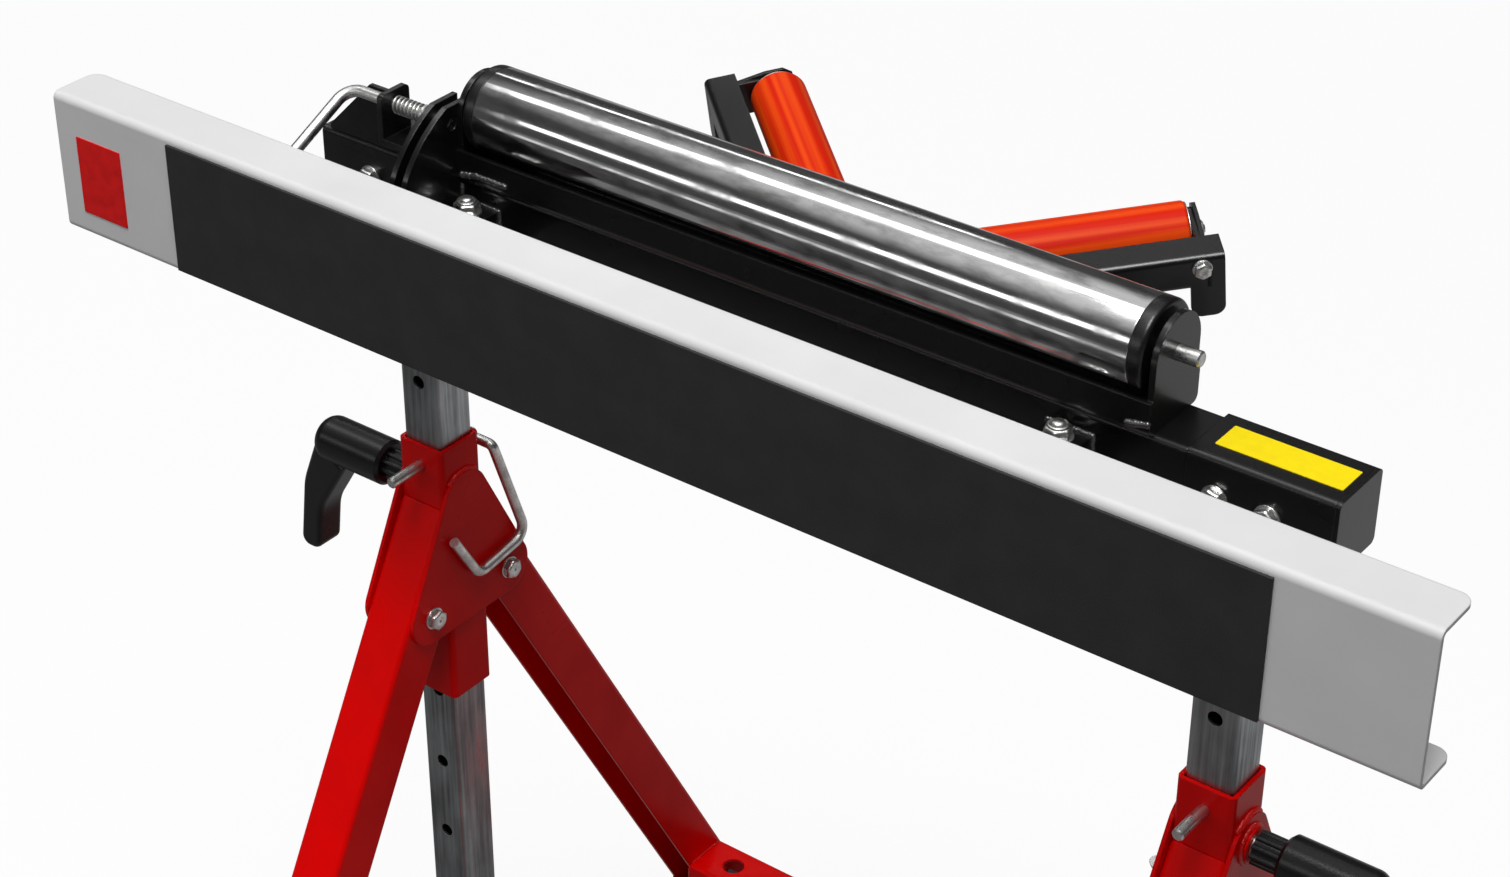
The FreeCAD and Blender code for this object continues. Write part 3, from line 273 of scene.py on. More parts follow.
def arcOutline(outline, rounds, cuts=6):
    # (height, radius) corners, each swapped for an arc of its own radius
    result = []
    count = len(outline)
    for index, corner in enumerate(outline):
        size = rounds[index]
        middle = Vector(corner)
        if not size:
            result.append((*middle, 0))
            continue
        before = (Vector(outline[index - 1]) - middle).normalized()
        after = (Vector(outline[(index + 1) % count]) - middle).normalized()
        half = before.angle(after) / 2
        centre = middle + (before + after).normalized() * (size / math.sin(half))
        start = middle + before * (size / math.tan(half)) - centre
        end = middle + after * (size / math.tan(half)) - centre
        turn = start.angle_signed(end)
        for cut in range(cuts + 1):
            spot = centre + Matrix.Rotation(-turn * cut / cuts, 2) @ start
            result.append((*spot, 0))
    return result


def prismFaces(count):
    # faces of a prism whose two outlines have this many points each
    faces = [tuple(range(count)), tuple(reversed(range(count, 2 * count)))]
    return faces + [(at, at + count, (at + 1) % count + count, (at + 1) % count)
                    for at in range(count)]


def along(at, axis):
    # frame whose local Z runs along the axis, at a place in millimetres
    turn = Vector(axis).to_track_quat("Z", "Y").to_matrix().to_4x4()
    return Matrix.Translation(Vector(at) * mm) @ turn @ Matrix.Scale(mm, 4)


def groupTree(name, sockets):
    tree = bpy.data.node_groups.new(name, "GeometryNodeTree")
    face = tree.interface
    face.new_socket("Geometry", in_out="OUTPUT", socket_type="NodeSocketGeometry")
    face.new_socket("Geometry", in_out="INPUT", socket_type="NodeSocketGeometry")
    for label, kind in sockets.items():
        face.new_socket(label, in_out="INPUT", socket_type=kind)
    return tree, put(tree, "NodeGroupInput")


def endTree(tree, geometry, finish):
    # real mesh of every instance, in one finish
    whole = put(tree, "GeometryNodeRealizeInstances", {"Geometry": geometry})
    coated = put(tree, "GeometryNodeSetMaterial", {"Geometry": whole.outputs[0], "Material": finish})
    put(tree, "NodeGroupOutput", {0: coated.outputs[0]})


def grown(name, mesh, tree, values):
    # mesh that a node tree makes from a host mesh
    host = bpy.data.objects.new(name + ".host", mesh)
    bpy.context.scene.collection.objects.link(host)
    modifier = host.modifiers.new("Nodes", "NODES")
    modifier.node_group = tree
    for item in tree.interface.items_tree:
        if item.in_out == "INPUT" and item.name in values:
            modifier[item.identifier] = values[item.name]
    shown = host.evaluated_get(bpy.context.evaluated_depsgraph_get())
    made = bpy.data.meshes.new_from_object(shown)
    made.name = name
    bpy.data.objects.remove(host)
    return made


# Rollers: ground tube and plastic sleeves turned smooth
mainRoller = {"left": -221, "right": 257, "radius": 28.5, "wall": 2, "tubeEdge": 0.5, "ring": 9,
              "spigot": 8, "bore": 5.05, "fit": 0.1, "hub": 9, "hubOver": 1.5,
              "ringRounds": (0, 0, 0, 0.3, 3, 1, 0.6, 0.3), "steps": 160}


def makeMainRoller():
    low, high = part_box("main_roller")
    middle = [(low[axis] + high[axis]) / 2 / mm for axis in (1, 2)]
    place = along((0, *middle), (1, 0, 0))
    radius, inner = mainRoller["radius"], mainRoller["radius"] - mainRoller["wall"]
    left, right = mainRoller["left"], mainRoller["right"]
    corners = [(left, inner), (left, radius), (right, radius), (right, inner)]
    tube = arcOutline(corners, (0, mainRoller["tubeEdge"], mainRoller["tubeEdge"], 0), 3)
    mesh = meshOf("rollerTube", *lathe([tube], place, mainRoller["steps"]), "roller_chrome")
    finishPiece(mesh, "rollerTube", "roller", ["main_roller"])
    rings = []
    for start, way in ((left, -1), (right, 1)):
        end = start + way * mainRoller["ring"]
        back, over = start - way * mainRoller["spigot"], end + way * mainRoller["hubOver"]
        bore, plug, hub = mainRoller["bore"], inner - mainRoller["fit"], mainRoller["hub"]
        corners = [(back, bore), (back, plug), (start, plug), (start, radius),
                   (end, radius), (end, hub), (over, hub), (over, bore)]
        ring = arcOutline(corners, mainRoller["ringRounds"])
        rings.append(ring if way > 0 else ring[::-1])
    mesh = meshOf("rollerEndRings", *lathe(rings, place, mainRoller["steps"]), "black_plastic")
    finishPiece(mesh, "rollerEndRings", "roller", ["roller_rings"])


vRoller = {"apex": (24.5, 39, 842), "swing": 48.7, "tilt": 10.7, "start": 57, "end": 207, "radius": 19,
           "bore": 5.05, "boreEdge": 0.5, "edge": 2, "disc": 18, "discThick": 0.7, "discEdge": 0.2,
           "gap": 0.1, "steps": 120}


def vAxis(hand):
    swing, tilt = math.radians(vRoller["swing"]), math.radians(vRoller["tilt"])
    flat = Vector((hand * math.sin(swing), math.cos(swing), 0))
    return Matrix.Rotation(tilt, 3, "X") @ flat


def vPlace(hand, distance=0.0, aside=0.0, over=0.0):
    # point along a V roller's axis, aside towards its arm and over it, in millimetres
    swing = math.radians(vRoller["swing"])
    outwards = Vector((hand * math.cos(swing), -math.sin(swing), 0))
    tilt = Matrix.Rotation(math.radians(vRoller["tilt"]), 3, "X")
    across = tilt @ (outwards * aside + Vector((0, 0, over)))
    return Vector(vRoller["apex"]) + vAxis(hand) * distance + across


def makeVRollers():
    start, end, radius, bore = (vRoller[name] for name in ("start", "end", "radius", "bore"))
    thick, disc, gap = vRoller["discThick"], vRoller["disc"], vRoller["gap"]
    for hand, side in ((-1, "left"), (1, "right")):
        place = along(vRoller["apex"], vAxis(hand))
        corners = [(start, bore), (start, radius), (end, radius), (end, bore)]
        outline = arcOutline(corners, (vRoller["boreEdge"], vRoller["edge"], vRoller["edge"],
                                       vRoller["boreEdge"]))
        mesh = meshOf("vSleeve_" + side, *lathe([outline], place, vRoller["steps"]), "red_roller")
        # a finish of its own, so that the streaks run along this roller
        mesh.materials[0] = streakedPlastic("RedSleeve_" + side, place.to_translation(),
                                            place.to_quaternion().to_euler())
        finishPiece(mesh, "vSleeve_" + side, "v_" + side, ["v_roller_" + side])
        discs = []
        for face in (start - thick - gap, end + gap):
            corners = [(face, bore), (face, disc), (face + thick, disc), (face + thick, bore)]
            discs.append(arcOutline(corners, (0, vRoller["discEdge"], vRoller["discEdge"], 0), 2))
        mesh = meshOf("vDiscs_" + side, *lathe(discs, place, vRoller["steps"]), "zinc_plate")
        finishPiece(mesh, "vDiscs_" + side, "v_" + side)


endPlate = {"near": 211.1, "far": 213.6,
            "outline": ((-12, -9), (46, -9), (46, 10), (6, 16.5), (-6, 16.5), (-12, 12))}


def makeEndPlates():
    # outer end plates of the V arms, bolted on the axles
    for hand, side in ((-1, "left"), (1, "right")):
        points = [vPlace(hand, reach, aside, over) * mm for reach in (endPlate["near"], endPlate["far"])
                  for aside, over in endPlate["outline"]]
        faces = prismFaces(len(endPlate["outline"]))
        if hand < 0:
            faces = [face[::-1] for face in faces]
        mesh = meshOf("vEndPlate_" + side, points, faces, "black_paint", smooth=False)
        finishPiece(mesh, "vEndPlate_" + side, "head")


makeMainRoller()
makeVRollers()
makeEndPlates()
print("rollers turned")


# Bolts, nuts and washers, set out by a node tree
fastener = {"washer": 8.2, "washerThick": 1.6, "washerRounds": (0, 0.3, 0.4, 0), "apothem": 6.5,
            "head": 5.3, "nut": 5.5, "chamfer": 5.9, "chamferAngle": 30, "dish": 0.2,
            "dishShares": (0.5, 0.35), "thread": 4, "threadDepth": 0.45, "bore": 3.5, "pitch": 1.25,
            "tip": 0.3, "collar": 5.7, "collarHigh": 1.2, "collarSunk": 0.5, "collarMouth": 0.4,
            "collarRounds": (0, 0, 0.9, 0.4), "endSunk": 1, "endOut": 2.4, "shankSunk": 0.5,
            "bareNut": 5, "bareEnd": (4, 6.2), "steps": 48}


def washerShell():
    high, bore, radius = fastener["washerThick"], fastener["bore"], fastener["washer"]
    corners = [(0, bore), (0, radius), (high, radius), (high, bore)]
    return arcOutline(corners, fastener["washerRounds"], 2)


def hexShell(low, height, bore=0.0):
    # chamfered hexagon; a head, which has no bore, is slightly dished
    flat, ring = fastener["apothem"], fastener["chamfer"]
    high = low + height
    drop = (flat / math.cos(math.pi / 6) - ring) * math.tan(math.radians(fastener["chamferAngle"]))
    shell = [(low, bore, 0), (low, flat, 6), (high - drop, flat, 6), (high, ring, 0)]
    if bore:
        return shell + [(high, bore, 0)]
    bottom = high - fastener["dish"]
    rim, floor = (ring * share for share in fastener["dishShares"])
    return shell + [(high, rim, 0), (bottom, floor, 0), (bottom, 0, 0)]


def threadShell(low, high):
    root, crest = fastener["thread"] - fastener["threadDepth"], fastener["thread"]
    shell = [(low, 0, 0), (low, root, 0)]
    turns = int((high - low) / fastener["pitch"])
    for turn in range(turns):
        shell.append((low + (turn + 0.5) * fastener["pitch"], crest, 0))
        shell.append((low + (turn + 1) * fastener["pitch"], root, 0))
    return shell + [(high, root - fastener["tip"], 0), (high, 0, 0)]


def headShells():
    return [washerShell(), hexShell(fastener["washerThick"], fastener["head"])]


def nutShells():
    # low lock nut: hexagon, crimped round collar and the bolt's threaded end
    seat = fastener["washerThick"] + fastener["nut"]
    foot, top = seat - fastener["collarSunk"], seat + fastener["collarHigh"]
    collar = [(foot, fastener["thread"]), (foot, fastener["collar"]), (top, fastener["collar"]),
              (top, fastener["thread"] + fastener["collarMouth"])]
    shells = [washerShell(), hexShell(fastener["washerThick"], fastener["nut"], fastener["bore"])]
    return shells + [arcOutline(collar, fastener["collarRounds"], 4),
                     threadShell(seat - fastener["endSunk"], seat + fastener["endOut"])]


def shankShell(length):
    # plain shank that runs back from a head or a nut
    radius, top = fastener["thread"], fastener["shankSunk"]
    return [(-length, 0, 0), (-length, radius, 0), (top, radius, 0), (top, 0, 0)]


def throughShells(grip):
    # whole bolt: head in front, lock nut turned about on the far side
    tail = [[(-grip - height, radius, flats) for height, radius, flats in reversed(shell)]
            for shell in nutShells()]
    return headShells() + [shankShell(grip + fastener["shankSunk"])] + tail


def bareNutShells():
    return [hexShell(0, fastener["bareNut"]), threadShell(*fastener["bareEnd"])]


def fastenerTree():
    # one model at every point, aimed along the point's axis and twisted at random about it
    tree, given = groupTree("SetFasteners", {"Fastener": "NodeSocketObject", "Size": "NodeSocketFloat",
                                             "Seed": "NodeSocketInt", "Finish": "NodeSocketMaterial"})
    shape = put(tree, "GeometryNodeObjectInfo", {"Object": given.outputs["Fastener"]})
    axis = put(tree, "GeometryNodeInputNamedAttribute", {"Name": "axis"}, data_type="FLOAT_VECTOR")
    aim = put(tree, "FunctionNodeAlignRotationToVector", {"Vector": axis.outputs[0]}, axis="Z")
    spots = put(tree, "GeometryNodeInstanceOnPoints", {"Points": given.outputs[0],
                                                       "Instance": shape.outputs["Geometry"],
                                                       "Rotation": aim.outputs[0],
                                                       "Scale": given.outputs["Size"]})
    twist = put(tree, "FunctionNodeRandomValue", {"Seed": given.outputs["Seed"], 0: (0, 0, 0),
                                                  1: (0, 0, 2 * math.pi)}, data_type="FLOAT_VECTOR")
    turned = put(tree, "GeometryNodeRotateInstances", {"Instances": spots.outputs[0],
                                                       "Rotation": twist.outputs[0]})
    endTree(tree, turned.outputs[0], given.outputs["Finish"])
    return tree


def setFasteners(name, body, shells, spots, tree, seed, replaced=(), size=1.0):
    # spots are pairs of place and direction, in millimetres
    turned = lathe(shells, Matrix.Scale(mm, 4), fastener["steps"])
    model = bpy.data.objects.new(name + ".model", meshOf(name, *turned, "zinc_plate"))
    bpy.context.scene.collection.objects.link(model)
    points = bpy.data.meshes.new(name + ".points")
    points.from_pydata([Vector(at) * mm for at, _ in spots], [], [])
    ways = points.attributes.new("axis", "FLOAT_VECTOR", "POINT")
    for index, (_, axis) in enumerate(spots):
        ways.data[index].vector = axis
    mesh = grown(name, points, tree, {"Fastener": model, "Size": size, "Seed": seed,
                                     "Finish": finishes["zinc_plate"]})
    bpy.data.objects.remove(model)
    finishPiece(mesh, name, body, replaced)


legBolt = {"spread": 40, "height": 504, "face": 22.8}
headBolt = {"socketX": 221.5, "socketY": -36, "socketTop": 838.5, "nutSize": 1.15, "housingFace": -24.5,
            "housingX": (-316, -283, 317, 350), "housingShank": 10.7, "beamShank": 2.3}
armBolt = {"along": 208, "aside": 46, "over": 6, "size": 0.75, "axleEnd": 213.6}


def makeFasteners():
    tree = fastenerTree()
    for side, post, way, seed in (("left", leftPost, -1, 3), ("right", rightPost, 1, 5)):
        bolts = [((post - way * legBolt["face"], hand * legBolt["spread"], legBolt["height"]), (-way, 0, 0))
                 for hand in (-1, 1)]
        setFasteners("legBolts_" + side, "base", throughShells(2 * legBolt["face"]), bolts, tree, seed,
                     ["leg_pivot_bolts_" + side])
    heads = [((x, headBolt["housingFace"], headHeight), (0, -1, 0)) for x in headBolt["housingX"]]
    housingShells = headShells() + [shankShell(headBolt["housingShank"])]
    setFasteners("housingBolts", "column", housingShells, heads, tree, 8, ["housing_bolts"])
    nuts = [((way * headBolt["socketX"], headBolt["socketY"], headBolt["socketTop"]), (0, 0, 1))
            for way in (-1, 1)]
    nutAndEnd = nutShells() + [shankShell(headBolt["beamShank"])]
    setFasteners("beamNuts", "head", nutAndEnd, nuts, tree, 13, ["beam_bolts"], headBolt["nutSize"])
    out = vPlace(1, 0, 1) - vPlace(1)
    head = [(vPlace(1, armBolt["along"], armBolt["aside"], armBolt["over"]), out)]
    ends = [(vPlace(hand, armBolt["axleEnd"]), vAxis(hand)) for hand in (-1, 1)]
    setFasteners("armBolt", "head", headShells(), head, tree, 21, size=armBolt["size"])
    setFasteners("armAxleNuts", "head", bareNutShells(), ends, tree, 34, size=armBolt["size"])


makeFasteners()
print("fasteners set")


# Weld beads: ripples laid along the joints by a node tree, under enamel that runs thick and glossy there;
# the black beads are coloured paler grey as a painted highlight
bead = {"spacing": 1.7, "radius": 2.3, "thin": 1.4, "least": (0.85, 0.85, 0.7), "most": (1.15, 1.15, 0.95),
        "peel": 1.2 * mm}
beadFinish = {
    # black enamel on the welds tinted mid grey: painted highlight that stands in for the glints on the
    # beads
    "black_paint": glossPaint("WeldEnamelWithPaintedHighlight", "#464648", "#1c1c1d", 0.14, bead["peel"], 0.4, 1.0, 0.9),
    "red_paint": glossPaint("RedEnamelOnWeld", "#f80202", "#d00101", 0.18, bead["peel"], 0.3, 0.3, 0.3),
}


def beadTree():
    # overlapping ripples of unequal size at even steps along each seam
    tree, given = groupTree("LayBeads", {"Spacing": "NodeSocketFloat", "Radius": "NodeSocketFloat",
                                         "Seed": "NodeSocketInt", "Finish": "NodeSocketMaterial"})
    seam = put(tree, "GeometryNodeMeshToCurve", {"Mesh": given.outputs[0]})
    steps = put(tree, "GeometryNodeCurveToPoints", {"Curve": seam.outputs[0],
                                                    "Length": given.outputs["Spacing"]}, mode="LENGTH")
    aim = put(tree, "FunctionNodeAlignRotationToVector", {"Vector": steps.outputs["Tangent"]}, axis="Z")
    ball = put(tree, "GeometryNodeMeshIcoSphere", {"Radius": given.outputs["Radius"], "Subdivisions": 2})
    ripple = put(tree, "FunctionNodeRandomValue", {"Seed": given.outputs["Seed"], 0: bead["least"],
                                                   1: bead["most"]}, data_type="FLOAT_VECTOR")
    laid = put(tree, "GeometryNodeInstanceOnPoints", {"Points": steps.outputs[0],
                                                      "Instance": ball.outputs[0],
                                                      "Rotation": aim.outputs[0],
                                                      "Scale": ripple.outputs[0]})
    smooth = put(tree, "GeometryNodeSetShadeSmooth", {"Geometry": laid.outputs[0]})
    endTree(tree, smooth.outputs[0], given.outputs["Finish"])
    return tree


def layBeads(name, body, slot, seams, tree, seed, radius=bead["radius"]):
    # seams are runs of points in millimetres
    points, edges = [], []
    for seam in seams:
        first = len(points)
        points += [Vector(at) * mm for at in seam]
        edges += [(at, at + 1) for at in range(first, len(points) - 1)]
    mesh = bpy.data.meshes.new(name + ".seams")
    mesh.from_pydata(points, edges, [])
    values = {"Spacing": bead["spacing"] * mm, "Radius": radius * mm, "Seed": seed,
              "Finish": beadFinish[slot]}
    finishPiece(grown(name, mesh, tree, values), name, body)


seamAt = {"socketX": 221.5, "socketHalf": 15, "socketTop": 838.5, "socketLow": 807.5, "tubeFace": 22.5,
          "turningFace": -237, "turningDrop": 40, "fixedFace": -251, "fixedBack": 14, "housingHalf": 24.5,
          "mountHeights": (815, 848), "mountEnds": (-35.5, 84.5), "trayFront": -27,
          "traySeams": (((260, 859), (273, 861.5)), ((-232, 859), (-219, 861.5), (-196, 861.5))),
          "collarHalf": 19.8, "apex": 584, "apexRadius": 21, "apexSpan": (-38, 38), "apexOut": 0.4,
          "gussetFace": 22.8, "boss": 585, "bossRadius": 12, "bossSpan": (-170, 190), "bossCuts": 40,
          "crossHigh": 85, "crossLow": 60, "crossNear": 249.5, "crossFar": 291.5, "legInner": 19.5,
          "inset": 4}


def ringOf(x, centre, radius, span, cuts=16):
    # arc in a plane across X, its span in degrees from straight up towards the back
    first, last = span
    angles = [math.radians(first + (last - first) * cut / cuts) for cut in range(cuts + 1)]
    return [(x, radius * math.sin(a), centre + radius * math.cos(a)) for a in angles]


def headSeams():
    face, half, inset = seamAt["tubeFace"], seamAt["socketHalf"], seamAt["inset"]
    high, low = seamAt["socketTop"], seamAt["socketLow"]
    seams = []
    for way in (-1, 1):
        middle = way * seamAt["socketX"]
        seams.append([(middle - half, -face, high), (middle + half, -face, high)])
        for end in (-half, half):
            seams.append([(middle + end, -face, high), (middle + end, -face, low)])
    for end in seamAt["mountEnds"]:
        seams.append([(end, face, height) for height in seamAt["mountHeights"]])
    for seam in seamAt["traySeams"]:
        seams.append([(x, seamAt["trayFront"], z) for x, z in seam])
    x, top = seamAt["turningFace"], headHeight + face
    seams.append([(x, -face + inset, top), (x, face - inset, top)])
    seams.append([(x, -face, top - inset), (x, -face, top - seamAt["turningDrop"])])
    return seams


def columnSeams():
    x, edge, inset = seamAt["fixedFace"], seamAt["housingHalf"], seamAt["inset"]
    top = headHeight + edge
    return [[(x, -edge + inset, top), (x, seamAt["fixedBack"], top)],
            [(x, -edge, top - inset), (x, -edge, headHeight - edge + inset)]]


def baseSeams():
    seams = []
    for post in (leftPost, rightPost):
        for way in (-1, 1):
            arc = ringOf(post + way * seamAt["collarHalf"], seamAt["apex"], seamAt["apexRadius"],
                         seamAt["apexSpan"])
            seams.append([(x + way * seamAt["apexOut"], y, z) for x, y, z in arc])
    for post, way in ((leftPost, -1), (rightPost, 1)):
        seams.append(ringOf(post + way * seamAt["gussetFace"], seamAt["boss"], seamAt["bossRadius"],
                            seamAt["bossSpan"], seamAt["bossCuts"]))
    return seams


def legSeams(hand):
    near, far, inset = hand * seamAt["crossNear"], hand * seamAt["crossFar"], seamAt["inset"]
    high, low = seamAt["crossHigh"], seamAt["crossLow"]
    seams = []
    for end in (leftPost + seamAt["legInner"], rightPost - seamAt["legInner"]):
        seams.append([(end, near + hand * inset, high), (end, far - hand * inset, high)])
        seams.append([(end, far, high - inset), (end, far, low)])
        seams.append([(end, near, high - inset), (end, near, low)])
    return seams


def makeBeads():
    tree = beadTree()
    layBeads("headBeads", "head", "black_paint", headSeams(), tree, 2)
    layBeads("columnBeads", "column", "black_paint", columnSeams(), tree, 4)
    layBeads("baseBeads", "base", "red_paint", baseSeams(), tree, 6)
    for body, hand in (("front_legs", -1), ("rear_legs", 1)):
        layBeads(body + "Beads", body, "red_paint", legSeams(hand), tree, 9, bead["thin"])


makeBeads()
print("weld beads laid")


# Bent wire bails of the lock pins, drawn smooth
bail = {"radius": 3.8, "bends": (0, 4, 11, 11, 0), "height": 612, "sides": 28, "cuts": 10,
        "route": ((-4, 30, 0), (22, 30, 0), (28, 54.5, -84), (28, 3, -92), (28, -20, -53))}


def wireTree():
    # round wire along a route, each corner bent to its own radius
    tree, given = groupTree("BendWire", {"Radius": "NodeSocketFloat", "Sides": "NodeSocketInt",
                                         "Finish": "NodeSocketMaterial"})
    route = put(tree, "GeometryNodeMeshToCurve", {"Mesh": given.outputs[0]})
    bend = put(tree, "GeometryNodeInputNamedAttribute", {"Name": "bend"}, data_type="FLOAT")
    bent = put(tree, "GeometryNodeFilletCurve", {"Curve": route.outputs[0], "Count": bail["cuts"],
                                                 "Radius": bend.outputs[0]}, mode="POLY")
    ring = put(tree, "GeometryNodeCurvePrimitiveCircle", {"Resolution": given.outputs["Sides"],
                                                          "Radius": given.outputs["Radius"]})
    wire = put(tree, "GeometryNodeCurveToMesh", {"Curve": bent.outputs[0], "Profile Curve": ring.outputs[0],
                                                 "Fill Caps": True})
    endTree(tree, wire.outputs[0], given.outputs["Finish"])
    return tree


def makeBails():
    tree = wireTree()
    for side, post, inner in (("left", leftPost, 1), ("right", rightPost, -1)):
        points = [Vector((post + x * inner, y, bail["height"] + z)) * mm for x, y, z in bail["route"]]
        host = bpy.data.meshes.new("bailRoute_" + side)
        host.from_pydata(points, [(at, at + 1) for at in range(len(points) - 1)], [])
        bends = host.attributes.new("bend", "FLOAT", "POINT")
        for index, bend in enumerate(bail["bends"]):
            bends.data[index].value = bend * mm
        values = {"Radius": bail["radius"] * mm, "Sides": bail["sides"], "Finish": finishes["zinc_plate"]}
        mesh = grown("bailWire_" + side, host, tree, values)
        for polygon in mesh.polygons:
            # the wire's end faces stay flat
            polygon.use_smooth = len(polygon.vertices) == 4
        finishPiece(mesh, "bailWire_" + side, "lock_" + side, ["lock_pin_bail_" + side])


makeBails()
print("bails bent")


# Rib that stiffens the index pin's tab
tabRib = {"outline": ((-289, 854.6), (-289, 897), (-313, 897), (-351, 858), (-351, 854.6)), "front": -23.5,
          "back": -20.5}


def makeTabRib():
    outline = tabRib["outline"]
    points = [Vector((x, y, z)) * mm for y in (tabRib["front"], tabRib["back"]) for x, z in outline]
    mesh = meshOf("tabRib", points, prismFaces(len(outline)), "black_paint", smooth=False)
    finishPiece(mesh, "tabRib", "column")


makeTabRib()


# Bare sign plates: a red one on the beam's left end, a yellow film on the right housing
redSign = {"x": (-482, -441), "z": (794.5, 850), "y": -127.5}
yellowSign = {"x": (307, 386), "y": (-11, 12), "z": 854.5}
sign = {"gap": 0.02, "thick": 0.5, "crown": 0.15, "inner": 0.97, "corner": 0.8, "cuts": 6,
        "rub": 9 * mm, "dirt": (0.35, 0.75), "gloss": (0.8, 1.5), "bump": 0.05, "rubDepth": 0.1 * mm,
        "edge": 0.2 * mm, "shine": 0.3}


def signFilm(name, colour, shade, roughness):
    # plain coloured film under a clear coat, slightly rubbed
    material, tree = blankMaterial(name)
    rub = grain(tree, sign["rub"], 4.0)
    tint = mixed(tree, ranged(tree, rub.outputs[0], 0.0, 1.0, *sign["dirt"]).outputs[0], colour, shade)
    gloss = ranged(tree, rub.outputs[0], *[roughness * share for share in sign["gloss"]])
    relief = skin(tree, rub.outputs[0], sign["bump"], sign["rubDepth"], sign["edge"])
    endPrincipled(tree, tint, relief, {"Roughness": gloss.outputs[0], "Specular IOR Level": sign["shine"]})
    return material


def signPlate(name, body, slot, material, toWorld, spanU, spanV):
    # thin plate with round corners; toWorld turns (u, v, height) into the part's millimetres
    outline = []
    corner, inner = sign["corner"], sign["inner"]
    for index, (wayU, wayV) in enumerate(((1, 1), (-1, 1), (-1, -1), (1, -1))):
        centreU = spanU[wayU > 0] - corner * wayU
        centreV = spanV[wayV > 0] - corner * wayV
        for cut in range(sign["cuts"] + 1):
            angle = math.pi / 2 * (index + cut / sign["cuts"])
            outline.append((centreU + corner * math.cos(angle), centreV + corner * math.sin(angle)))
    count = len(outline)
    middleU, middleV = sum(spanU) / 2, sum(spanV) / 2
    rings = [[(u, v, height) for u, v in outline] for height in (sign["gap"], sign["thick"])]
    rings.append([(middleU + (u - middleU) * inner, middleV + (v - middleV) * inner,
                   sign["thick"] + sign["crown"]) for u, v in outline])
    points = [Vector(toWorld(*point)) * mm for ring in rings for point in ring]
    faces = [tuple(reversed(range(count))), tuple(range(2 * count, 3 * count))]
    for level in (0, count):
        faces += [(level + at, level + (at + 1) % count, level + count + (at + 1) % count,
                   level + count + at) for at in range(count)]
    mesh = meshOf(name, points, faces, slot, smooth=False)
    mesh.materials[0] = material
    finishPiece(mesh, name, body)


def makeSigns():
    red = signFilm("RedSignFilm", "#f20a0a", "#dc0808", 0.35)
    yellow = signFilm("YellowSignFilm", "#fbe200", "#f2d800", 0.4)
    signPlate("redSignPlate", "head", "grey_paint", red,
              lambda u, v, height: (u, redSign["y"] - height, v), redSign["x"], redSign["z"])
    signPlate("yellowSignFilm", "column", "black_paint", yellow,
              lambda u, v, height: (u, v, yellowSign["z"] + height), yellowSign["x"], yellowSign["y"])


makeSigns()
print("sign plates placed")


# Floor, light and camera
studio = {"floorSide": 14.0, "floorLit": "#ffffff", "floorBounce": "#7c7c7c", "white": (0.9, 1.0),
          "whiteFrom": (1.5, 5.5), "floorShine": (0.18, 0.42), "shineFrom": (-0.6, 1.2),
          "worldFill": 0.12, "worldShine": (0.06, 0.6), "shineHeight": (0.55, 0.85)}
view = {"at": (0.9718, -1.31576, 1.76301), "azimuth": 36.976, "elevation": 32.14, "roll": -0.198,
        "lens": 73.66, "sensor": 36.0, "clipEnd": 60}
lamps = {"keyLamp": ((0.7, -1.4, 5.6), (0, 0, 0.6), (2.4, 2.4), 232),
         "frontStrip": ((-1.33, -2.07, 1.64), (-1.33, 0, 0.9), (2.8, 0.36), 7.0),
         "topStrip": ((-1.25, 0.05, 2.9), (-1.25, 0, 0.9), (2.6, 0.5), 9.0),
         "backStrip": ((-1.85, 1.96, 2.45), (-1.85, 0, 0.9), (1.9, 0.2), 3.6)}


def makeFloor():
    # to the camera white with a faint shadow near the stand; mid grey in the light it throws back;
    # in reflections dim, paler to the back right
    bpy.ops.mesh.primitive_plane_add(size=studio["floorSide"])
    floor = bpy.context.object
    floor.name = "floor"
    material, tree = blankMaterial("PaleFloor")
    light = put(tree, "ShaderNodeLightPath")
    tint = mixed(tree, light.outputs["Is Camera Ray"], studio["floorBounce"], studio["floorLit"])
    matt = put(tree, "ShaderNodeBsdfDiffuse", {"Color": tint.outputs[2]})
    place = put(tree, "ShaderNodeTexCoord")
    axes = put(tree, "ShaderNodeSeparateXYZ", {"Vector": place.outputs["Object"]})
    across = put(tree, "ShaderNodeMath", {0: axes.outputs["X"], 1: axes.outputs["Y"]}, operation="ADD")
    glow = ranged(tree, across.outputs[0], *studio["floorShine"], *studio["shineFrom"])
    shine = put(tree, "ShaderNodeEmission", {"Strength": glow.outputs[0]})
    white = put(tree, "ShaderNodeEmission", {"Strength": 1.0})
    far = put(tree, "ShaderNodeVectorMath", {0: place.outputs["Object"]}, operation="LENGTH")
    whiter = ranged(tree, far.outputs["Value"], *studio["white"], *studio["whiteFrom"])
    share = put(tree, "ShaderNodeMath", {0: light.outputs["Is Camera Ray"], 1: whiter.outputs[0]},
                operation="MULTIPLY")
    seen = put(tree, "ShaderNodeMixShader", {0: share.outputs[0], 1: matt.outputs[0], 2: white.outputs[0]})
    endMaterial(tree, put(tree, "ShaderNodeMixShader", {0: light.outputs["Is Glossy Ray"],
                                                        1: seen.outputs[0], 2: shine.outputs[0]}))
    floor.data.materials.append(material)


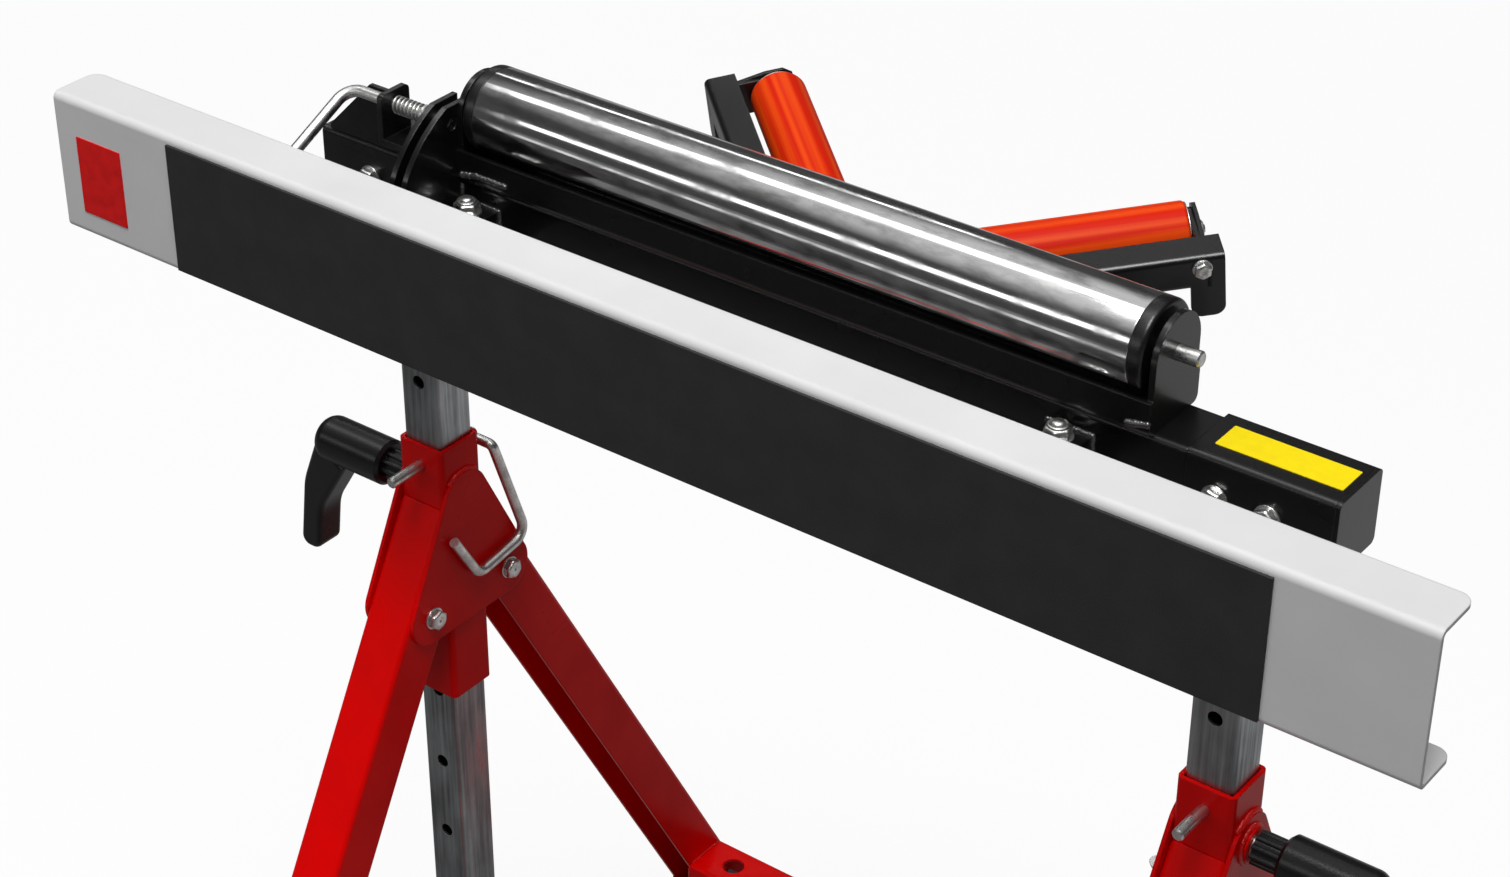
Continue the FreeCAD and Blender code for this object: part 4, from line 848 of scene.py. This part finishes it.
def makeWorld():
    # white to the camera; in reflections a dark room under a pale ceiling
    world = bpy.data.worlds.new("Studio")
    bpy.context.scene.world = world
    world.use_nodes = True
    tree = world.node_tree
    tree.nodes.clear()
    light = put(tree, "ShaderNodeLightPath")
    way = put(tree, "ShaderNodeTexCoord")
    axes = put(tree, "ShaderNodeSeparateXYZ", {"Vector": way.outputs["Generated"]})
    room = ranged(tree, axes.outputs["Z"], *studio["worldShine"], *studio["shineHeight"])
    fill = put(tree, "ShaderNodeMapRange", {"Value": light.outputs["Is Glossy Ray"],
                                            "To Min": studio["worldFill"], "To Max": room.outputs[0]})
    strength = put(tree, "ShaderNodeMapRange", {"Value": light.outputs["Is Camera Ray"],
                                                "To Min": fill.outputs[0], "To Max": 1.0})
    backdrop = put(tree, "ShaderNodeBackground", {"Color": (1, 1, 1, 1), "Strength": strength.outputs[0]})
    put(tree, "ShaderNodeOutputWorld", {"Surface": backdrop.outputs[0]})


def makeLamp(name, at, aim, size, power):
    # rectangular lamp that lights the object and shows in the roller, not to the camera
    lamp = bpy.data.objects.new(name, bpy.data.lights.new(name, "AREA"))
    lamp.data.shape = "RECTANGLE"
    lamp.data.size, lamp.data.size_y = size
    lamp.data.energy = power
    lamp.location = at
    lamp.rotation_euler = (Vector(aim) - Vector(at)).to_track_quat("-Z", "Y").to_euler()
    lamp.visible_camera = False
    bpy.context.scene.collection.objects.link(lamp)


def makeCamera():
    azimuth, elevation, roll = (math.radians(view[name]) for name in ("azimuth", "elevation", "roll"))
    back = Vector((math.sin(azimuth) * math.cos(elevation), -math.cos(azimuth) * math.cos(elevation),
                   math.sin(elevation)))
    right = Vector((math.cos(azimuth), math.sin(azimuth), 0))
    up = back.cross(right)
    turn = Matrix.Rotation(-roll, 3, back)
    columns = Matrix((turn @ right, turn @ up, back)).transposed()
    camera = bpy.data.objects.new("camera", bpy.data.cameras.new("camera"))
    camera.data.lens = view["lens"]
    camera.data.sensor_width = view["sensor"]
    camera.data.clip_end = view["clipEnd"]
    camera.matrix_world = Matrix.Translation(view["at"]) @ columns.to_4x4()
    bpy.context.scene.collection.objects.link(camera)
    bpy.context.scene.camera = camera


makeFloor()
makeWorld()
for name, values in lamps.items():
    makeLamp(name, *values)
makeCamera()
bpy.context.scene.view_settings.view_transform = "Standard"
print("stage, lamps and camera set")
